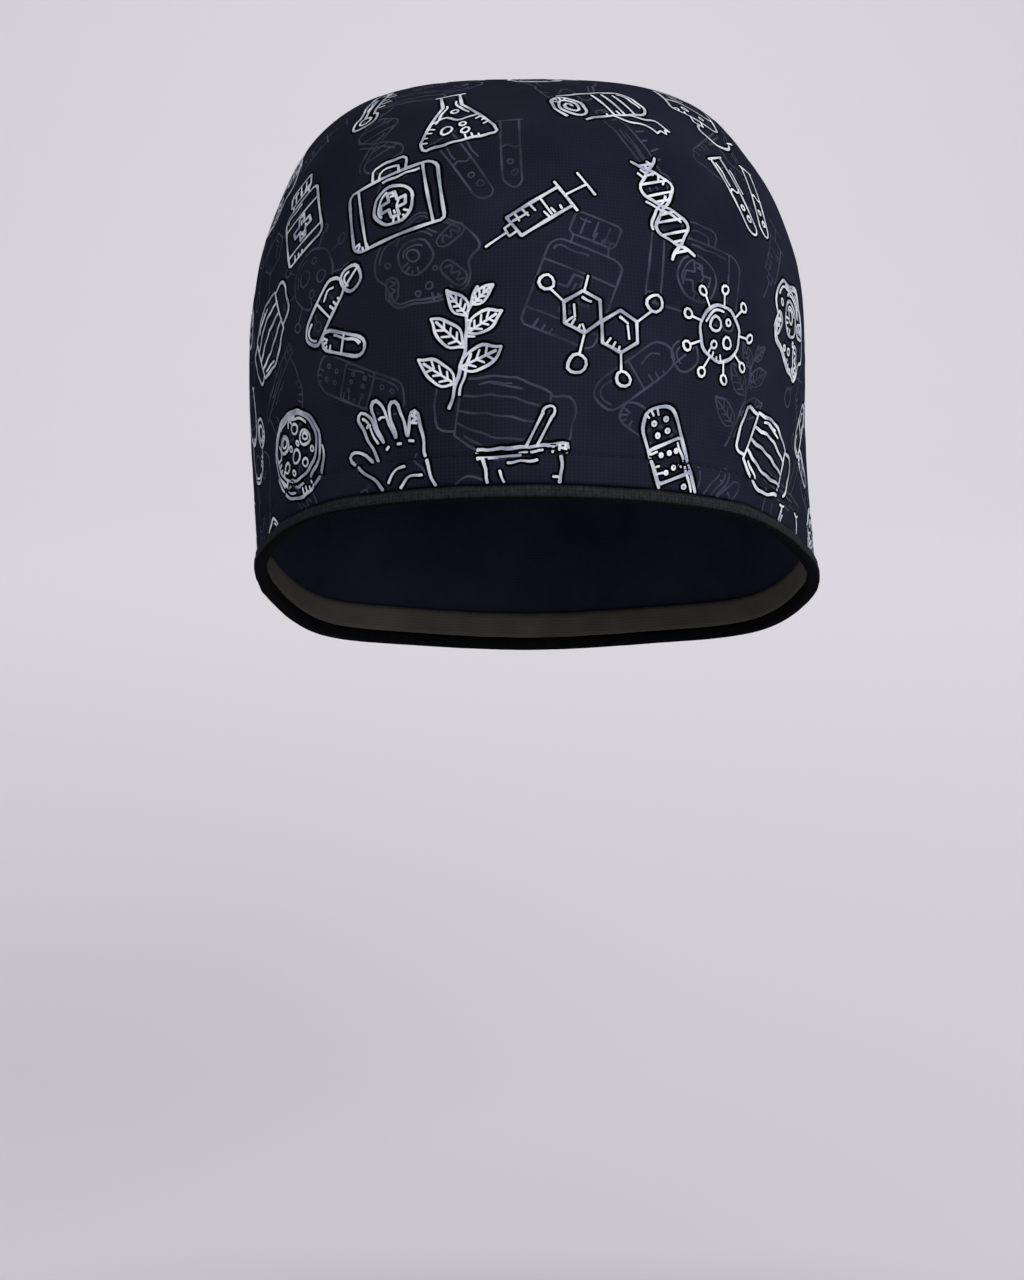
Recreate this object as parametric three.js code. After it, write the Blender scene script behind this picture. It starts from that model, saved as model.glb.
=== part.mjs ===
import * as THREE from "three";

// A printed cloth scrub cap in the form it has when worn, in millimetres.
// The front faces -Y and +Z is up. Height 0 is the lower edge of the rim at
// the middle of the front. Both halves of the cap are shaped around one
// upright line, the crown axis, and the seam over the top lies on it.

// Size of the worn cap.
const HALF_WIDTH = 84.2;       // crown axis to either side, at the brow
const FRONT_REACH = 110;       // crown axis to the forehead
const BACK_REACH = 90;         // crown axis to the back of the head
const CROWN_AXIS_Y = 12;       // where the seam crosses from side to side
const BROW_HEIGHT = 17;        // widest level of the cap
const CROWN_HEIGHT = 112.8;    // top of the cap
const PLAN_SQUARENESS = 2.25;  // 2 is an oval, more is squarer
const SHOULDER_REACH = 3.1;    // how far out the top stays flat
const SHOULDER_RISE = 2.95;    // how high the sides stay upright
const BACK_ROUNDING = 0.22;    // how much rounder the back is than the front
const SHOULDER_EASE = 2.6;     // drawn in between the brow and the flat top
const EASE_LEVEL = 0.66;       // share of the way from the brow to the top
const EASE_SPREAD = 0.22;
const RIM_DROP = 74;           // from the front of the rim down to the nape
const RIGHT_LEAN = 4.4;        // the right side leans out down to its rim
const LEFT_LEAN = -2.8;        // and the left side leans in a little
const NAPE_DRAW_IN = 14.5;     // the back leans in down to the nape

// Cloth and trim.
const CLOTH = 1.0;             // front and back panel
const FACING = 0.8;            // strip inside the hem
const BINDING_LEAF = 1.0;      // each side of the folded edge strip
const BINDING_HEIGHT = 4.0;
const BINDING_ROUND = 0.5;     // softened corners of the folded strip
const FACING_TALL = 8.1;       // from just above the folded strip
const GAP = 0.3;               // kept between neighbouring pieces

// How far the rim has dropped at each turn, as a share of its whole drop.
// A turn is counted in degrees from the middle of the front.
const RIM = [
  { turn: 0, drop: 0 },
  { turn: 30, drop: 0.086 },
  { turn: 60, drop: 0.343 },
  { turn: 90, drop: 0.575 },
  { turn: 120, drop: 0.84 },
  { turn: 150, drop: 0.958 },
  { turn: 180, drop: 1 },
];

// Soft dents and swells of the worn cloth. Heights and the half height
// "tall" are shares of the crown's height, the depth is a share of the half
// width, and "turn" and the half width "wide" are degrees, positive to +X.
// A depth below zero is a swell.
const FOLDS = [
  { name: "left shoulder kink", turn: -88, height: 0.45, wide: 24, tall: 0.07, depth: 0.007 },
  { name: "right shoulder kink", turn: 84, height: 0.62, wide: 24, tall: 0.08, depth: 0.008 },
  { name: "right shoulder slope", turn: 80, height: 0.85, wide: 34, tall: 0.13, depth: 0.05 },
  { name: "left crown swell", turn: -80, height: 0.97, wide: 36, tall: 0.05, depth: -0.012 },
  { name: "right side slack", turn: 88, height: 0.33, wide: 34, tall: 0.2, depth: 0.018 },
  { name: "left temple hollow", turn: -58, height: 0.05, wide: 14, tall: 0.16, depth: 0.012 },
  { name: "right temple hollow", turn: 62, height: 0.04, wide: 13, tall: 0.18, depth: 0.013 },
  { name: "forehead swell", turn: 12, height: 0.3, wide: 26, tall: 0.18, depth: -0.01 },
  { name: "left back slack", turn: -128, height: 0.27, wide: 16, tall: 0.27, depth: 0.024 },
  { name: "right back slack", turn: 134, height: 0.2, wide: 15, tall: 0.25, depth: 0.026 },
  { name: "nape swell", turn: 180, height: -0.18, wide: 30, tall: 0.14, depth: -0.019 },
];

// The cloth is drawn together a little where it goes into the nape's rim.
const GATHER_SPREAD = 50;      // degrees to each side of the middle back
const GATHER_COUNT = 9;
const GATHER_DEPTH = 1.1;
const GATHER_RISE = 8;         // they grow over this height above the rim strip
const GATHER_TALL = 33;        // and fade out over this height above that

// Columns and rows of the surface.
const FRONT_STEP = 3.75;       // degrees
const SIDE_STEP = 5;           // back panel, outside the gathers
const GATHER_STEP = 2.0;
const FRONT_SKIRT_ROWS = 5;
const BACK_SKIRT_ROWS = 7;
const DOME_ROWS = 11;

const radians = (degrees) => (degrees * Math.PI) / 180;
const clamp = (value, low, high) => Math.min(high, Math.max(low, value));

function smooth(value) {
  const t = clamp(value, 0, 1);
  return t * t * (3 - 2 * t);
}

function turnBetween(a, b) {
  let difference = (a - b) % 360;
  if (difference > 180) difference -= 360;
  if (difference < -180) difference += 360;
  return difference;
}

// A smooth curve through the rim's heights, level at both ends.
function rimHeight(turn) {
  const at = Math.abs(turnBetween(turn, 0));
  const step = RIM[1].turn - RIM[0].turn;
  const i = Math.min(Math.floor(at / step), RIM.length - 2);
  const t = (at - RIM[i].turn) / step;
  const low = RIM[i].drop;
  const high = RIM[i + 1].drop;
  const before = i > 0 ? RIM[i - 1].drop : RIM[1].drop;
  const after = i < RIM.length - 2 ? RIM[i + 2].drop : RIM[RIM.length - 2].drop;
  const slopeLow = (high - before) / 2;
  const slopeHigh = (after - low) / 2;
  const t2 = t * t;
  const t3 = t2 * t;
  const drop =
    low * (2 * t3 - 3 * t2 + 1) +
    slopeLow * (t3 - 2 * t2 + t) +
    high * (3 * t2 - 2 * t3) +
    slopeHigh * (t3 - t2);
  return -RIM_DROP * drop;
}

// Distance from the crown axis to the wall at the brow.
function reach(turn) {
  const across = Math.abs(Math.sin(radians(turn))) / HALF_WIDTH;
  const along = Math.cos(radians(turn));
  const ahead = Math.abs(along) / (along > 0 ? FRONT_REACH : BACK_REACH);
  return Math.pow(
    Math.pow(across, PLAN_SQUARENESS) + Math.pow(ahead, PLAN_SQUARENESS),
    -1 / PLAN_SQUARENESS
  );
}

// How far the folds and gathers push the cloth in at one place.
function pushedIn(turn, height) {
  let depth = 0;
  for (const fold of FOLDS) {
    const across = turnBetween(turn, fold.turn) / fold.wide;
    const up = (height / CROWN_HEIGHT - fold.height) / fold.tall;
    depth += fold.depth * HALF_WIDTH * Math.exp(-across * across - up * up);
  }
  const fromBack = turnBetween(turn, 180);
  const aboveStrip = height - rimHeight(turn) - BINDING_HEIGHT;
  const inSpread = smooth(1.25 * (1 - Math.abs(fromBack) / GATHER_SPREAD));
  const rising = smooth(aboveStrip / GATHER_RISE);
  const fading = 1 - smooth((aboveStrip - GATHER_RISE) / GATHER_TALL);
  const wave = Math.cos((Math.PI * GATHER_COUNT * fromBack) / GATHER_SPREAD);
  depth += 0.5 * GATHER_DEPTH * (1 + wave) * inSpread * rising * fading;
  return depth;
}

// A point of the outer surface below the brow.
function wallPoint(turn, height) {
  const below = Math.max(BROW_HEIGHT - height, 0);
  const side = Math.sin(radians(turn));
  const back = clamp(-Math.cos(radians(turn)), 0, 1);
  const lean = side > 0 ? RIGHT_LEAN : LEFT_LEAN;
  const sideDrop = BROW_HEIGHT - rimHeight(90);
  const leaning = lean * Math.pow(below / sideDrop, 1.5) * side * side;
  const taper = (NAPE_DRAW_IN / BACK_REACH) * (below / (BROW_HEIGHT + RIM_DROP));
  const out = reach(turn) * (1 - taper * back) + leaning;
  return polar(turn, out - pushedIn(turn, height), height);
}

// A point of the dome. The angle goes from 0 at the brow to 90 at the top.
function domePoint(turn, angle) {
  const along = Math.cos(radians(turn));
  const rounder = along > 0 ? 1 : 1 - BACK_ROUNDING * along * along;
  const inward = Math.pow(Math.cos(radians(angle)), 2 / (SHOULDER_REACH * rounder));
  const upward = Math.pow(Math.sin(radians(angle)), 2 / (SHOULDER_RISE * rounder));
  const height = BROW_HEIGHT + (CROWN_HEIGHT - BROW_HEIGHT) * upward;
  const ease = (SHOULDER_EASE / HALF_WIDTH) *
    Math.exp(-Math.pow((upward - EASE_LEVEL) / EASE_SPREAD, 2));
  const out = reach(turn) * inward * (1 - ease);
  return polar(turn, out - pushedIn(turn, height) * inward, height);
}

function polar(turn, out, height) {
  return new THREE.Vector3(
    out * Math.sin(radians(turn)),
    CROWN_AXIS_Y - out * Math.cos(radians(turn)),
    height
  );
}

// The surface point for a column and a row position. Rows from 0 to 1 go up
// the wall from "start" mm above the rim; rows from 1 to 2 go over the dome.
function surfacePoint(turn, row, start) {
  if (row <= 1) {
    const foot = rimHeight(turn) + start;
    return wallPoint(turn, foot + (BROW_HEIGHT - foot) * row);
  }
  const angle = 90 * Math.min(row - 1, 0.9999);
  return domePoint(turn, angle);
}

function outwardAt(turn, row, start) {
  const small = 0.004;
  const low = clamp(row - small, 0, 1.98);
  const high = clamp(row + small, 0, 1.99);
  const along = surfacePoint(turn + 0.3, row, start).sub(surfacePoint(turn - 0.3, row, start));
  const up = surfacePoint(turn, high, start).sub(surfacePoint(turn, low, start));
  return along.cross(up).normalize();
}

// A point set in from the outer surface. The seam edges stay in their plane.
function layerPoint(turn, row, start, inset) {
  const point = surfacePoint(turn, row, start);
  const outward = outwardAt(turn, row, start);
  if (Math.abs(Math.abs(turnBetween(turn, 0)) - 90) < 0.01) {
    outward.y = 0;
    outward.normalize();
  }
  return point.addScaledVector(outward, -inset);
}

// A closed body from lists of points and faces, with its corners shared.
class Body {
  constructor() {
    this.points = [];
    this.faces = [];
  }

  point(vector) {
    this.points.push(vector);
    return this.points.length - 1;
  }

  triangle(a, b, c) {
    this.faces.push(a, b, c);
  }

  // Corners run anticlockwise as seen from outside.
  quad(a, b, c, d) {
    const across = this.points[a].distanceToSquared(this.points[c]);
    const other = this.points[b].distanceToSquared(this.points[d]);
    if (across <= other) {
      this.triangle(a, b, c);
      this.triangle(a, c, d);
    } else {
      this.triangle(a, b, d);
      this.triangle(b, c, d);
    }
  }

  mesh(name, colour, roughness) {
    const flat = [];
    for (const point of this.points) flat.push(point.x, point.y, point.z);
    const geometry = new THREE.BufferGeometry();
    geometry.setAttribute("position", new THREE.Float32BufferAttribute(flat, 3));
    geometry.setIndex(this.faces);
    geometry.computeVertexNormals();
    const material = new THREE.MeshStandardMaterial({ color: colour, roughness });
    const made = new THREE.Mesh(geometry, material);
    made.name = name;
    return made;
  }
}

// One half of the cap: two layers of points joined at the crown, along the
// hem and along the seam, and moved back from the seam by half the gap.
function panel(turns, skirtRows, start, shift) {
  const body = new Body();
  const rows = [];
  for (let i = 0; i <= skirtRows; i += 1) rows.push(i / skirtRows);
  for (const angle of domeAngles()) rows.push(1 + angle / 90);
  const moved = (vector) => vector.add(new THREE.Vector3(0, shift, 0));
  const layers = [0, CLOTH].map((inset) =>
    turns.map((turn) =>
      rows.map((row) => body.point(moved(layerPoint(turn, row, start, inset))))
    )
  );
  const [outer, inner] = layers;
  const outerTop = body.point(new THREE.Vector3(0, CROWN_AXIS_Y + shift, CROWN_HEIGHT));
  const innerTop = body.point(
    new THREE.Vector3(0, CROWN_AXIS_Y + shift, CROWN_HEIGHT - CLOTH)
  );
  const last = rows.length - 1;
  for (let c = 0; c < turns.length - 1; c += 1) {
    for (let r = 0; r < last; r += 1) {
      body.quad(outer[c][r], outer[c + 1][r], outer[c + 1][r + 1], outer[c][r + 1]);
      body.quad(inner[c][r], inner[c][r + 1], inner[c + 1][r + 1], inner[c + 1][r]);
    }
    body.triangle(outer[c][last], outer[c + 1][last], outerTop);
    body.triangle(inner[c][last], innerTop, inner[c + 1][last]);
    body.quad(outer[c][0], inner[c][0], inner[c + 1][0], outer[c + 1][0]);
  }
  const end = turns.length - 1;
  for (let r = 0; r < last; r += 1) {
    body.quad(outer[0][r], outer[0][r + 1], inner[0][r + 1], inner[0][r]);
    body.quad(outer[end][r], inner[end][r], inner[end][r + 1], outer[end][r + 1]);
  }
  body.quad(outer[0][last], outerTop, innerTop, inner[0][last]);
  body.quad(outer[end][last], inner[end][last], innerTop, outerTop);
  return body;
}

// Angles of the dome's rows, evenly spaced by a mix of the length of the
// side's outline and of how far that outline has turned.
function domeAngles() {
  const fine = 900;
  const passed = [0];
  let length = 0;
  for (let i = 1; i <= fine; i += 1) {
    const low = domePoint(90, (90 * (i - 1)) / fine);
    length += low.distanceTo(domePoint(90, Math.min((90 * i) / fine, 89.99)));
    passed.push(length);
  }
  const turned = (i) => {
    const low = domePoint(90, (90 * Math.max(i - 1, 0)) / fine);
    const high = domePoint(90, Math.min((90 * (i + 1)) / fine, 89.99));
    return Math.atan2(low.x - high.x, high.z - low.z) / (Math.PI / 2);
  };
  const angles = [];
  let i = 1;
  for (let row = 1; row < DOME_ROWS; row += 1) {
    while (i < fine && 0.55 * (passed[i] / length) + 0.45 * turned(i) < row / DOME_ROWS) i += 1;
    angles.push((90 * i) / fine);
  }
  return angles;
}

// A closed loop round the rim from one outline of the strip. Each outline
// corner states its height above the rim and its depth in from the cloth.
function loop(turns, outline) {
  const body = new Body();
  const rings = turns.map((turn) =>
    outline.map((corner) => {
      const row = corner.height / (BROW_HEIGHT - rimHeight(turn));
      return body.point(layerPoint(turn, row, 0, corner.inset));
    })
  );
  for (let c = 0; c < rings.length; c += 1) {
    const here = rings[c];
    const next = rings[(c + 1) % rings.length];
    for (let k = 0; k < outline.length; k += 1) {
      const k2 = (k + 1) % outline.length;
      body.quad(here[k], next[k], next[k2], here[k2]);
    }
  }
  return body;
}

// Columns of the front run from the left seam to the right seam, and those
// of the back go on from there round to the left seam again.
function frontTurns() {
  const turns = [];
  const count = Math.round(180 / FRONT_STEP);
  for (let i = 0; i <= count; i += 1) turns.push(-90 + i * FRONT_STEP);
  return turns;
}

function backTurns() {
  const turns = [];
  const gatherStart = 180 - GATHER_SPREAD;
  const sideCount = Math.round((gatherStart - 90) / SIDE_STEP);
  const gatherCount = Math.round((2 * GATHER_SPREAD) / GATHER_STEP);
  for (let i = 0; i < sideCount; i += 1) turns.push(90 + i * SIDE_STEP);
  for (let i = 0; i < gatherCount; i += 1) turns.push(gatherStart + i * GATHER_STEP);
  for (let i = 0; i <= sideCount; i += 1) {
    turns.push(180 + GATHER_SPREAD + i * SIDE_STEP);
  }
  return turns;
}

const front = frontTurns();
const back = backTurns();
const allRound = [...front.slice(0, -1), ...back.slice(0, -1)];

const hemStart = BINDING_LEAF + GAP;
const frontPanel = panel(front, FRONT_SKIRT_ROWS, hemStart, -GAP / 2);
const backPanel = panel(back, BACK_SKIRT_ROWS, hemStart, GAP / 2);

// The folded strip: a channel open at the top, with the hem standing in it.
const outside = -(GAP + BINDING_LEAF);
const inside = CLOTH + GAP + BINDING_LEAF;
const channel = [
  { height: BINDING_ROUND, inset: outside },
  { height: BINDING_HEIGHT - BINDING_ROUND, inset: outside },
  { height: BINDING_HEIGHT, inset: outside + BINDING_ROUND },
  { height: BINDING_HEIGHT, inset: -GAP },
  { height: BINDING_LEAF, inset: -GAP },
  { height: BINDING_LEAF, inset: CLOTH + GAP },
  { height: BINDING_HEIGHT, inset: CLOTH + GAP },
  { height: BINDING_HEIGHT, inset: inside - BINDING_ROUND },
  { height: BINDING_HEIGHT - BINDING_ROUND, inset: inside },
  { height: BINDING_ROUND, inset: inside },
  { height: 0, inset: inside - BINDING_ROUND },
  { height: 0, inset: outside + BINDING_ROUND },
];
const binding = loop(allRound, channel);

// The strip inside starts just above the binding and ends at the stitching.
const stripFoot = BINDING_HEIGHT + GAP;
const strip = [
  { height: stripFoot, inset: CLOTH + GAP },
  { height: stripFoot + FACING_TALL, inset: CLOTH + GAP },
  { height: stripFoot + FACING_TALL, inset: CLOTH + GAP + FACING },
  { height: stripFoot, inset: CLOTH + GAP + FACING },
];
const facing = loop(allRound, strip);

const group = new THREE.Group();
group.add(frontPanel.mesh("front_panel", 0x272834, 0.88));
group.add(backPanel.mesh("back_panel", 0x272834, 0.88));
group.add(facing.mesh("hem_facing", 0x302d29, 0.92));
group.add(binding.mesh("rim_binding", 0x25272c, 0.9));

export default group;
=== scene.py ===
# %% [markdown]
# A scrub cap is sewn from two printed panels, with a narrow folded strip
# round its rim. This lesson dresses the plain solids of such a cap as cloth.
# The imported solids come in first, in metres, and they are never changed:
# each one is hidden behind the finer piece that is made here.

import math

import bpy
import numpy as np
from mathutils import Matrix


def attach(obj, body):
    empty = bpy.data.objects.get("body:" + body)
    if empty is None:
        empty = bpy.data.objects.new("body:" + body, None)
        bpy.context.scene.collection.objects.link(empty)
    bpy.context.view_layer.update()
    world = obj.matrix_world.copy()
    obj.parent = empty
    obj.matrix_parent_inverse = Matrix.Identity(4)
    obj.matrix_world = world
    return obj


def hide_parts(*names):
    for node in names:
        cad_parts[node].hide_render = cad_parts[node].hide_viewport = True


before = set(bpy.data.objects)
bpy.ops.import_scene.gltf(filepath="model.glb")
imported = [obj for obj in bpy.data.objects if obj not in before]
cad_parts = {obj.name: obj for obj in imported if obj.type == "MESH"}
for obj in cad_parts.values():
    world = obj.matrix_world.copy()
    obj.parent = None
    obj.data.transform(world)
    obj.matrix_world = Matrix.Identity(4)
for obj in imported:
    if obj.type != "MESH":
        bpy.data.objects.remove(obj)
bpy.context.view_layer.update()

# %% [markdown]
# The cap is looked at from the front, a little from above. A long lens keeps
# its sides nearly upright. The camera is placed first, because every later
# choice is judged through it.

# %% Camera
MM = 0.001
CAMERA_AWAY = 756
CAMERA_HEIGHT = 77.9
CAMERA_ASIDE = -5.0
CAMERA_TILT = 9.98
LENS = 70.3

lens = bpy.data.cameras.new("camera")
lens.lens = LENS
lens.sensor_fit = "VERTICAL"
lens.sensor_height = 36
lens.clip_start = 0.01
camera = bpy.data.objects.new("camera", lens)
bpy.context.scene.collection.objects.link(camera)
camera.location = (CAMERA_ASIDE * MM, -CAMERA_AWAY * MM, CAMERA_HEIGHT * MM)
camera.rotation_euler = (math.radians(90 - CAMERA_TILT), 0, 0)
bpy.context.scene.camera = camera
print("camera stands", CAMERA_AWAY, "mm from the middle of the cap")

# %% [markdown]
# The cap has the form that it takes when worn: an oval plan that is longer than
# it is wide, upright sides, a flat top with rounded shoulders, and a rim that
# drops towards the back. One function gives that form, so that the cloth, the
# trim, the stitches and the print all follow the same surface. The sizes are
# those of the solids, in millimetres.

# %% Sizes of the worn cap
HALF_WIDTH = 84.2
FRONT_REACH = 110.0
BACK_REACH = 90.0
CROWN_AXIS_Y = 12.0
BROW_HEIGHT = 17.0
CROWN_HEIGHT = 112.8
PLAN_SQUARENESS = 2.25
SHOULDER_REACH = 3.1
SHOULDER_RISE = 2.95
BACK_ROUNDING = 0.22
SHOULDER_EASE = 2.6
EASE_LEVEL = 0.66
EASE_SPREAD = 0.22
RIM_DROP = 74.0
RIGHT_LEAN = 4.4
LEFT_LEAN = -2.8
LEAN_GROWTH = 1.5
NAPE_DRAW_IN = 14.5
BINDING_HEIGHT = 4.0
STITCH_HEIGHT = 12.0

# Share of the rim's drop at every 30 degrees, from the front to the back.
SHARE_EVERY = 30
RIM_SHARES = np.array([0, 0.086, 0.343, 0.575, 0.84, 0.958, 1.0])
LAST_SHARE = len(RIM_SHARES) - 1

# turn, height, half width in degrees, half height, depth
FOLDS = [
    (-88, 0.45, 24, 0.07, 0.007),
    (84, 0.62, 24, 0.08, 0.008),
    (80, 0.85, 34, 0.13, 0.050),
    (-80, 0.97, 36, 0.05, -0.012),
    (88, 0.33, 34, 0.20, 0.018),
    (-58, 0.05, 14, 0.16, 0.012),
    (62, 0.04, 13, 0.18, 0.013),
    (12, 0.30, 26, 0.18, -0.010),
    (-128, 0.27, 16, 0.27, 0.024),
    (134, 0.20, 15, 0.25, 0.026),
    (180, -0.18, 30, 0.14, -0.019),
]


def turn_between(a, b):
    return (a - b + 180.0) % 360.0 - 180.0


def ease(value):
    value = np.clip(value, 0, 1)
    return value * value * (3 - 2 * value)


def hill(away, wide):
    return np.exp(-((away / wide) ** 2))


# A line through all the shares without a kink: at each share it runs in the
# direction from the share before it to the one after it.
def rim_height(turn):
    at = np.abs(turn_between(turn, 0.0))
    i = np.minimum((at / SHARE_EVERY).astype(int), LAST_SHARE - 1)
    t = at / SHARE_EVERY - i
    low, high = RIM_SHARES[i], RIM_SHARES[i + 1]
    before = RIM_SHARES[np.where(i > 0, i - 1, 1)]
    after = RIM_SHARES[np.where(i < LAST_SHARE - 1, i + 2, LAST_SHARE - 1)]
    slope_low, slope_high = (high - before) / 2, (after - low) / 2
    t2, t3 = t * t, t * t * t
    return -RIM_DROP * (
        low * (2 * t3 - 3 * t2 + 1) + slope_low * (t3 - 2 * t2 + t)
        + high * (3 * t2 - 2 * t3) + slope_high * (t3 - t2)
    )


def reach(turn):
    across = np.abs(np.sin(np.radians(turn))) / HALF_WIDTH
    along = np.cos(np.radians(turn))
    ahead = np.abs(along) / np.where(along > 0, FRONT_REACH, BACK_REACH)
    power = across**PLAN_SQUARENESS + ahead**PLAN_SQUARENESS
    return power ** (-1 / PLAN_SQUARENESS)


print("the rim drops", -float(rim_height(np.array(90.0))), "mm at the sides")

# %% [markdown]
# Worn cotton is never a perfect shell. Broad hollows and swells come from the
# table above, the nape is drawn together in small gathers, and a few long,
# faint ripples run over the sides, where worn cloth is pulled tight.

# %% Folds, gathers and ripples
GATHER_SPREAD = 50.0
GATHER_COUNT = 9
GATHER_DEPTH = 1.1
GATHER_RISE = 8.0
GATHER_TALL = 33.0
GATHER_EDGE = 1.25
RIPPLE_DEPTH = 0.22
RIPPLE_RISE = 20


def pushed_in(turn, height):
    depth = 0
    for fold_turn, fold_height, wide, tall, deep in FOLDS:
        across = turn_between(turn, fold_turn) / wide
        up = (height / CROWN_HEIGHT - fold_height) / tall
        depth = depth + deep * HALF_WIDTH * np.exp(-across * across - up * up)
    from_back = turn_between(turn, 180.0)
    above = height - rim_height(turn) - BINDING_HEIGHT
    spread = ease(GATHER_EDGE * (1 - np.abs(from_back) / GATHER_SPREAD))
    rising = ease(above / GATHER_RISE)
    fading = 1 - ease((above - GATHER_RISE) / GATHER_TALL)
    wave = 1 + np.cos(math.pi * GATHER_COUNT * from_back / GATHER_SPREAD)
    depth = depth + 0.5 * GATHER_DEPTH * wave * spread * rising * fading
    angle = np.radians(turn)
    broad = np.sin(5 * angle + 0.045 * height + 0.6) * np.sin(0.062 * height + 2.3 * np.sin(angle))
    ripple = broad + 0.5 * np.sin(11 * angle - 0.08 * height) * np.sin(0.05 * height + 1.1)
    return depth + RIPPLE_DEPTH * ripple * ease(above / RIPPLE_RISE)


# The dome is counted from 0 at the brow to 1 at the top, by length along it.
def dome_share(turn, angle):
    along = np.cos(np.radians(turn))
    rounder = np.where(along > 0, 1, 1 - BACK_ROUNDING * along * along)
    inward = np.clip(np.cos(angle), 0, 1) ** (2 / (SHOULDER_REACH * rounder))
    upward = np.clip(np.sin(angle), 0, 1) ** (2 / (SHOULDER_RISE * rounder))
    return inward, upward


# The angles stand closest together at both ends, where the shoulder is tight.
ANGLE_SPLIT = 0.8
CROWDING = 2.4
low_angles = np.linspace(0, 1, 4000) ** CROWDING * ANGLE_SPLIT
high_angles = math.pi / 2 - np.linspace(1, 0, 6000)[1:] ** CROWDING * (math.pi / 2 - ANGLE_SPLIT)
fine_angles = np.concatenate([low_angles, high_angles])
fine_in, fine_up = dome_share(np.array(90.0), fine_angles)
side_out = HALF_WIDTH * fine_in
side_up = (CROWN_HEIGHT - BROW_HEIGHT) * fine_up
side_length = np.concatenate([[0], np.cumsum(np.hypot(np.diff(side_out), np.diff(side_up)))])
DOME_LENGTH = float(side_length[-1])
side_length = side_length / DOME_LENGTH
print("brow to top along the side:", round(DOME_LENGTH, 1), "mm")


# %% [markdown]
# A cap could be cut from a sphere, but then neither its flat top nor its oval
# plan would be right. Here one formula gives the point for each turn round the
# cap and each step up it, and a second one gives the direction away from the
# cap there. Every later piece asks these two where to lie.

# %% The cap's surface
# "step" is 0 at the rim's lower edge, 1 at the brow and 2 at the top.
def surface(turn, step):
    turn = np.asarray(turn, dtype=float)
    step = np.asarray(step, dtype=float)
    turn, step = np.broadcast_arrays(turn, step)
    foot = rim_height(turn)
    side, along = np.sin(np.radians(turn)), np.cos(np.radians(turn))
    wall_height = foot + (BROW_HEIGHT - foot) * step
    below = np.maximum(BROW_HEIGHT - wall_height, 0)
    lean = np.where(side > 0, RIGHT_LEAN, LEFT_LEAN)
    side_drop = BROW_HEIGHT - float(rim_height(np.array(90.0)))
    taper = NAPE_DRAW_IN / BACK_REACH * below / (BROW_HEIGHT + RIM_DROP)
    wall_out = reach(turn) * (1 - taper * np.clip(-along, 0, 1))
    wall_out = wall_out + lean * (below / side_drop) ** LEAN_GROWTH * side * side
    wall_out = wall_out - pushed_in(turn, wall_height)

    angle = np.interp(np.clip(step - 1, 0, 1), side_length, fine_angles)
    inward, upward = dome_share(turn, angle)
    dome_height = BROW_HEIGHT + (CROWN_HEIGHT - BROW_HEIGHT) * upward
    drawn = SHOULDER_EASE / HALF_WIDTH * hill(upward - EASE_LEVEL, EASE_SPREAD)
    dome_out = reach(turn) * inward * (1 - drawn) - pushed_in(turn, dome_height) * inward

    on_wall = step <= 1
    out = np.where(on_wall, wall_out, dome_out)
    height = np.where(on_wall, wall_height, dome_height)
    return np.stack([out * side, CROWN_AXIS_Y - out * along, height], axis=-1)


# The direction away from the cap, from two short moves over its surface. Near
# the top the move stops short of the pole, where a turn has no length.
TURN_MOVE = 0.2
STEP_MOVE = 0.004
POLE_SHORT = (1.985, 1.99)


def outward(turn, step):
    around = surface(turn + TURN_MOVE, step) - surface(turn - TURN_MOVE, step)
    low = np.clip(step - STEP_MOVE, -1, POLE_SHORT[0])
    high = np.clip(step + STEP_MOVE, -1, POLE_SHORT[1])
    up = surface(turn, high) - surface(turn, low)
    normal = np.cross(around, up)
    length = np.linalg.norm(normal, axis=-1, keepdims=True)
    return normal / np.maximum(length, 1e-9)


# %% [markdown]
# Thread pulls cloth in. Two shallow lines are pressed into the cap: where the
# hem is stitched, and where the two panels are sewn together over the crown.
# The cloth swells a little beside each. They could be painted on with a bump,
# but as real form they also show in the outline and in every light.

# %% Pressed lines and the cloth's own surface
# For each line: depth and width, and the same for its swell and where it is.
HEM_PRESS, HEM_WIDE = 0.42, 0.55
HEM_SWELL, HEM_SWELL_WIDE, SWELL_BELOW = 0.12, 2.2, 3.2
SEAM_PRESS, SEAM_WIDE = 0.75, 0.9
SEAM_SWELL, SEAM_SWELL_WIDE, SWELL_ASIDE = 0.18, 1.8, 3.0


def pressed(points, turn, step):
    above = points[..., 2] - rim_height(turn)
    on_wall = step <= 1
    hem = np.where(on_wall, hill(above - STITCH_HEIGHT, HEM_WIDE), 0)
    pillow = np.where(on_wall, hill(above - STITCH_HEIGHT + SWELL_BELOW, HEM_SWELL_WIDE), 0)
    from_seam = np.abs(points[..., 1] - CROWN_AXIS_Y)
    seam = hill(from_seam, SEAM_WIDE)
    swell = hill(from_seam - SWELL_ASIDE, SEAM_SWELL_WIDE)
    return HEM_PRESS * hem - HEM_SWELL * pillow + SEAM_PRESS * seam - SEAM_SWELL * swell


# The two panels are pulled against each other where they are sewn, so each
# passes the seam by a hundredth of a millimetre and no light shows between.
HALF_SEAM = -0.01


def cloth_point(turn, step, lift=0.0, side=None):
    points = surface(turn, step)
    normals = outward(turn, step)
    laid = points + normals * (lift - pressed(points, turn, step))[..., None]
    back = np.cos(np.radians(turn)) < 0 if side is None else side > 0
    laid[..., 1] += np.where(back, HALF_SEAM, -HALF_SEAM)
    return laid


below_brow = cloth_point(np.array(0.0), np.array(0.9))
print("middle of the front, just below the brow:", below_brow.round(1))

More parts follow.
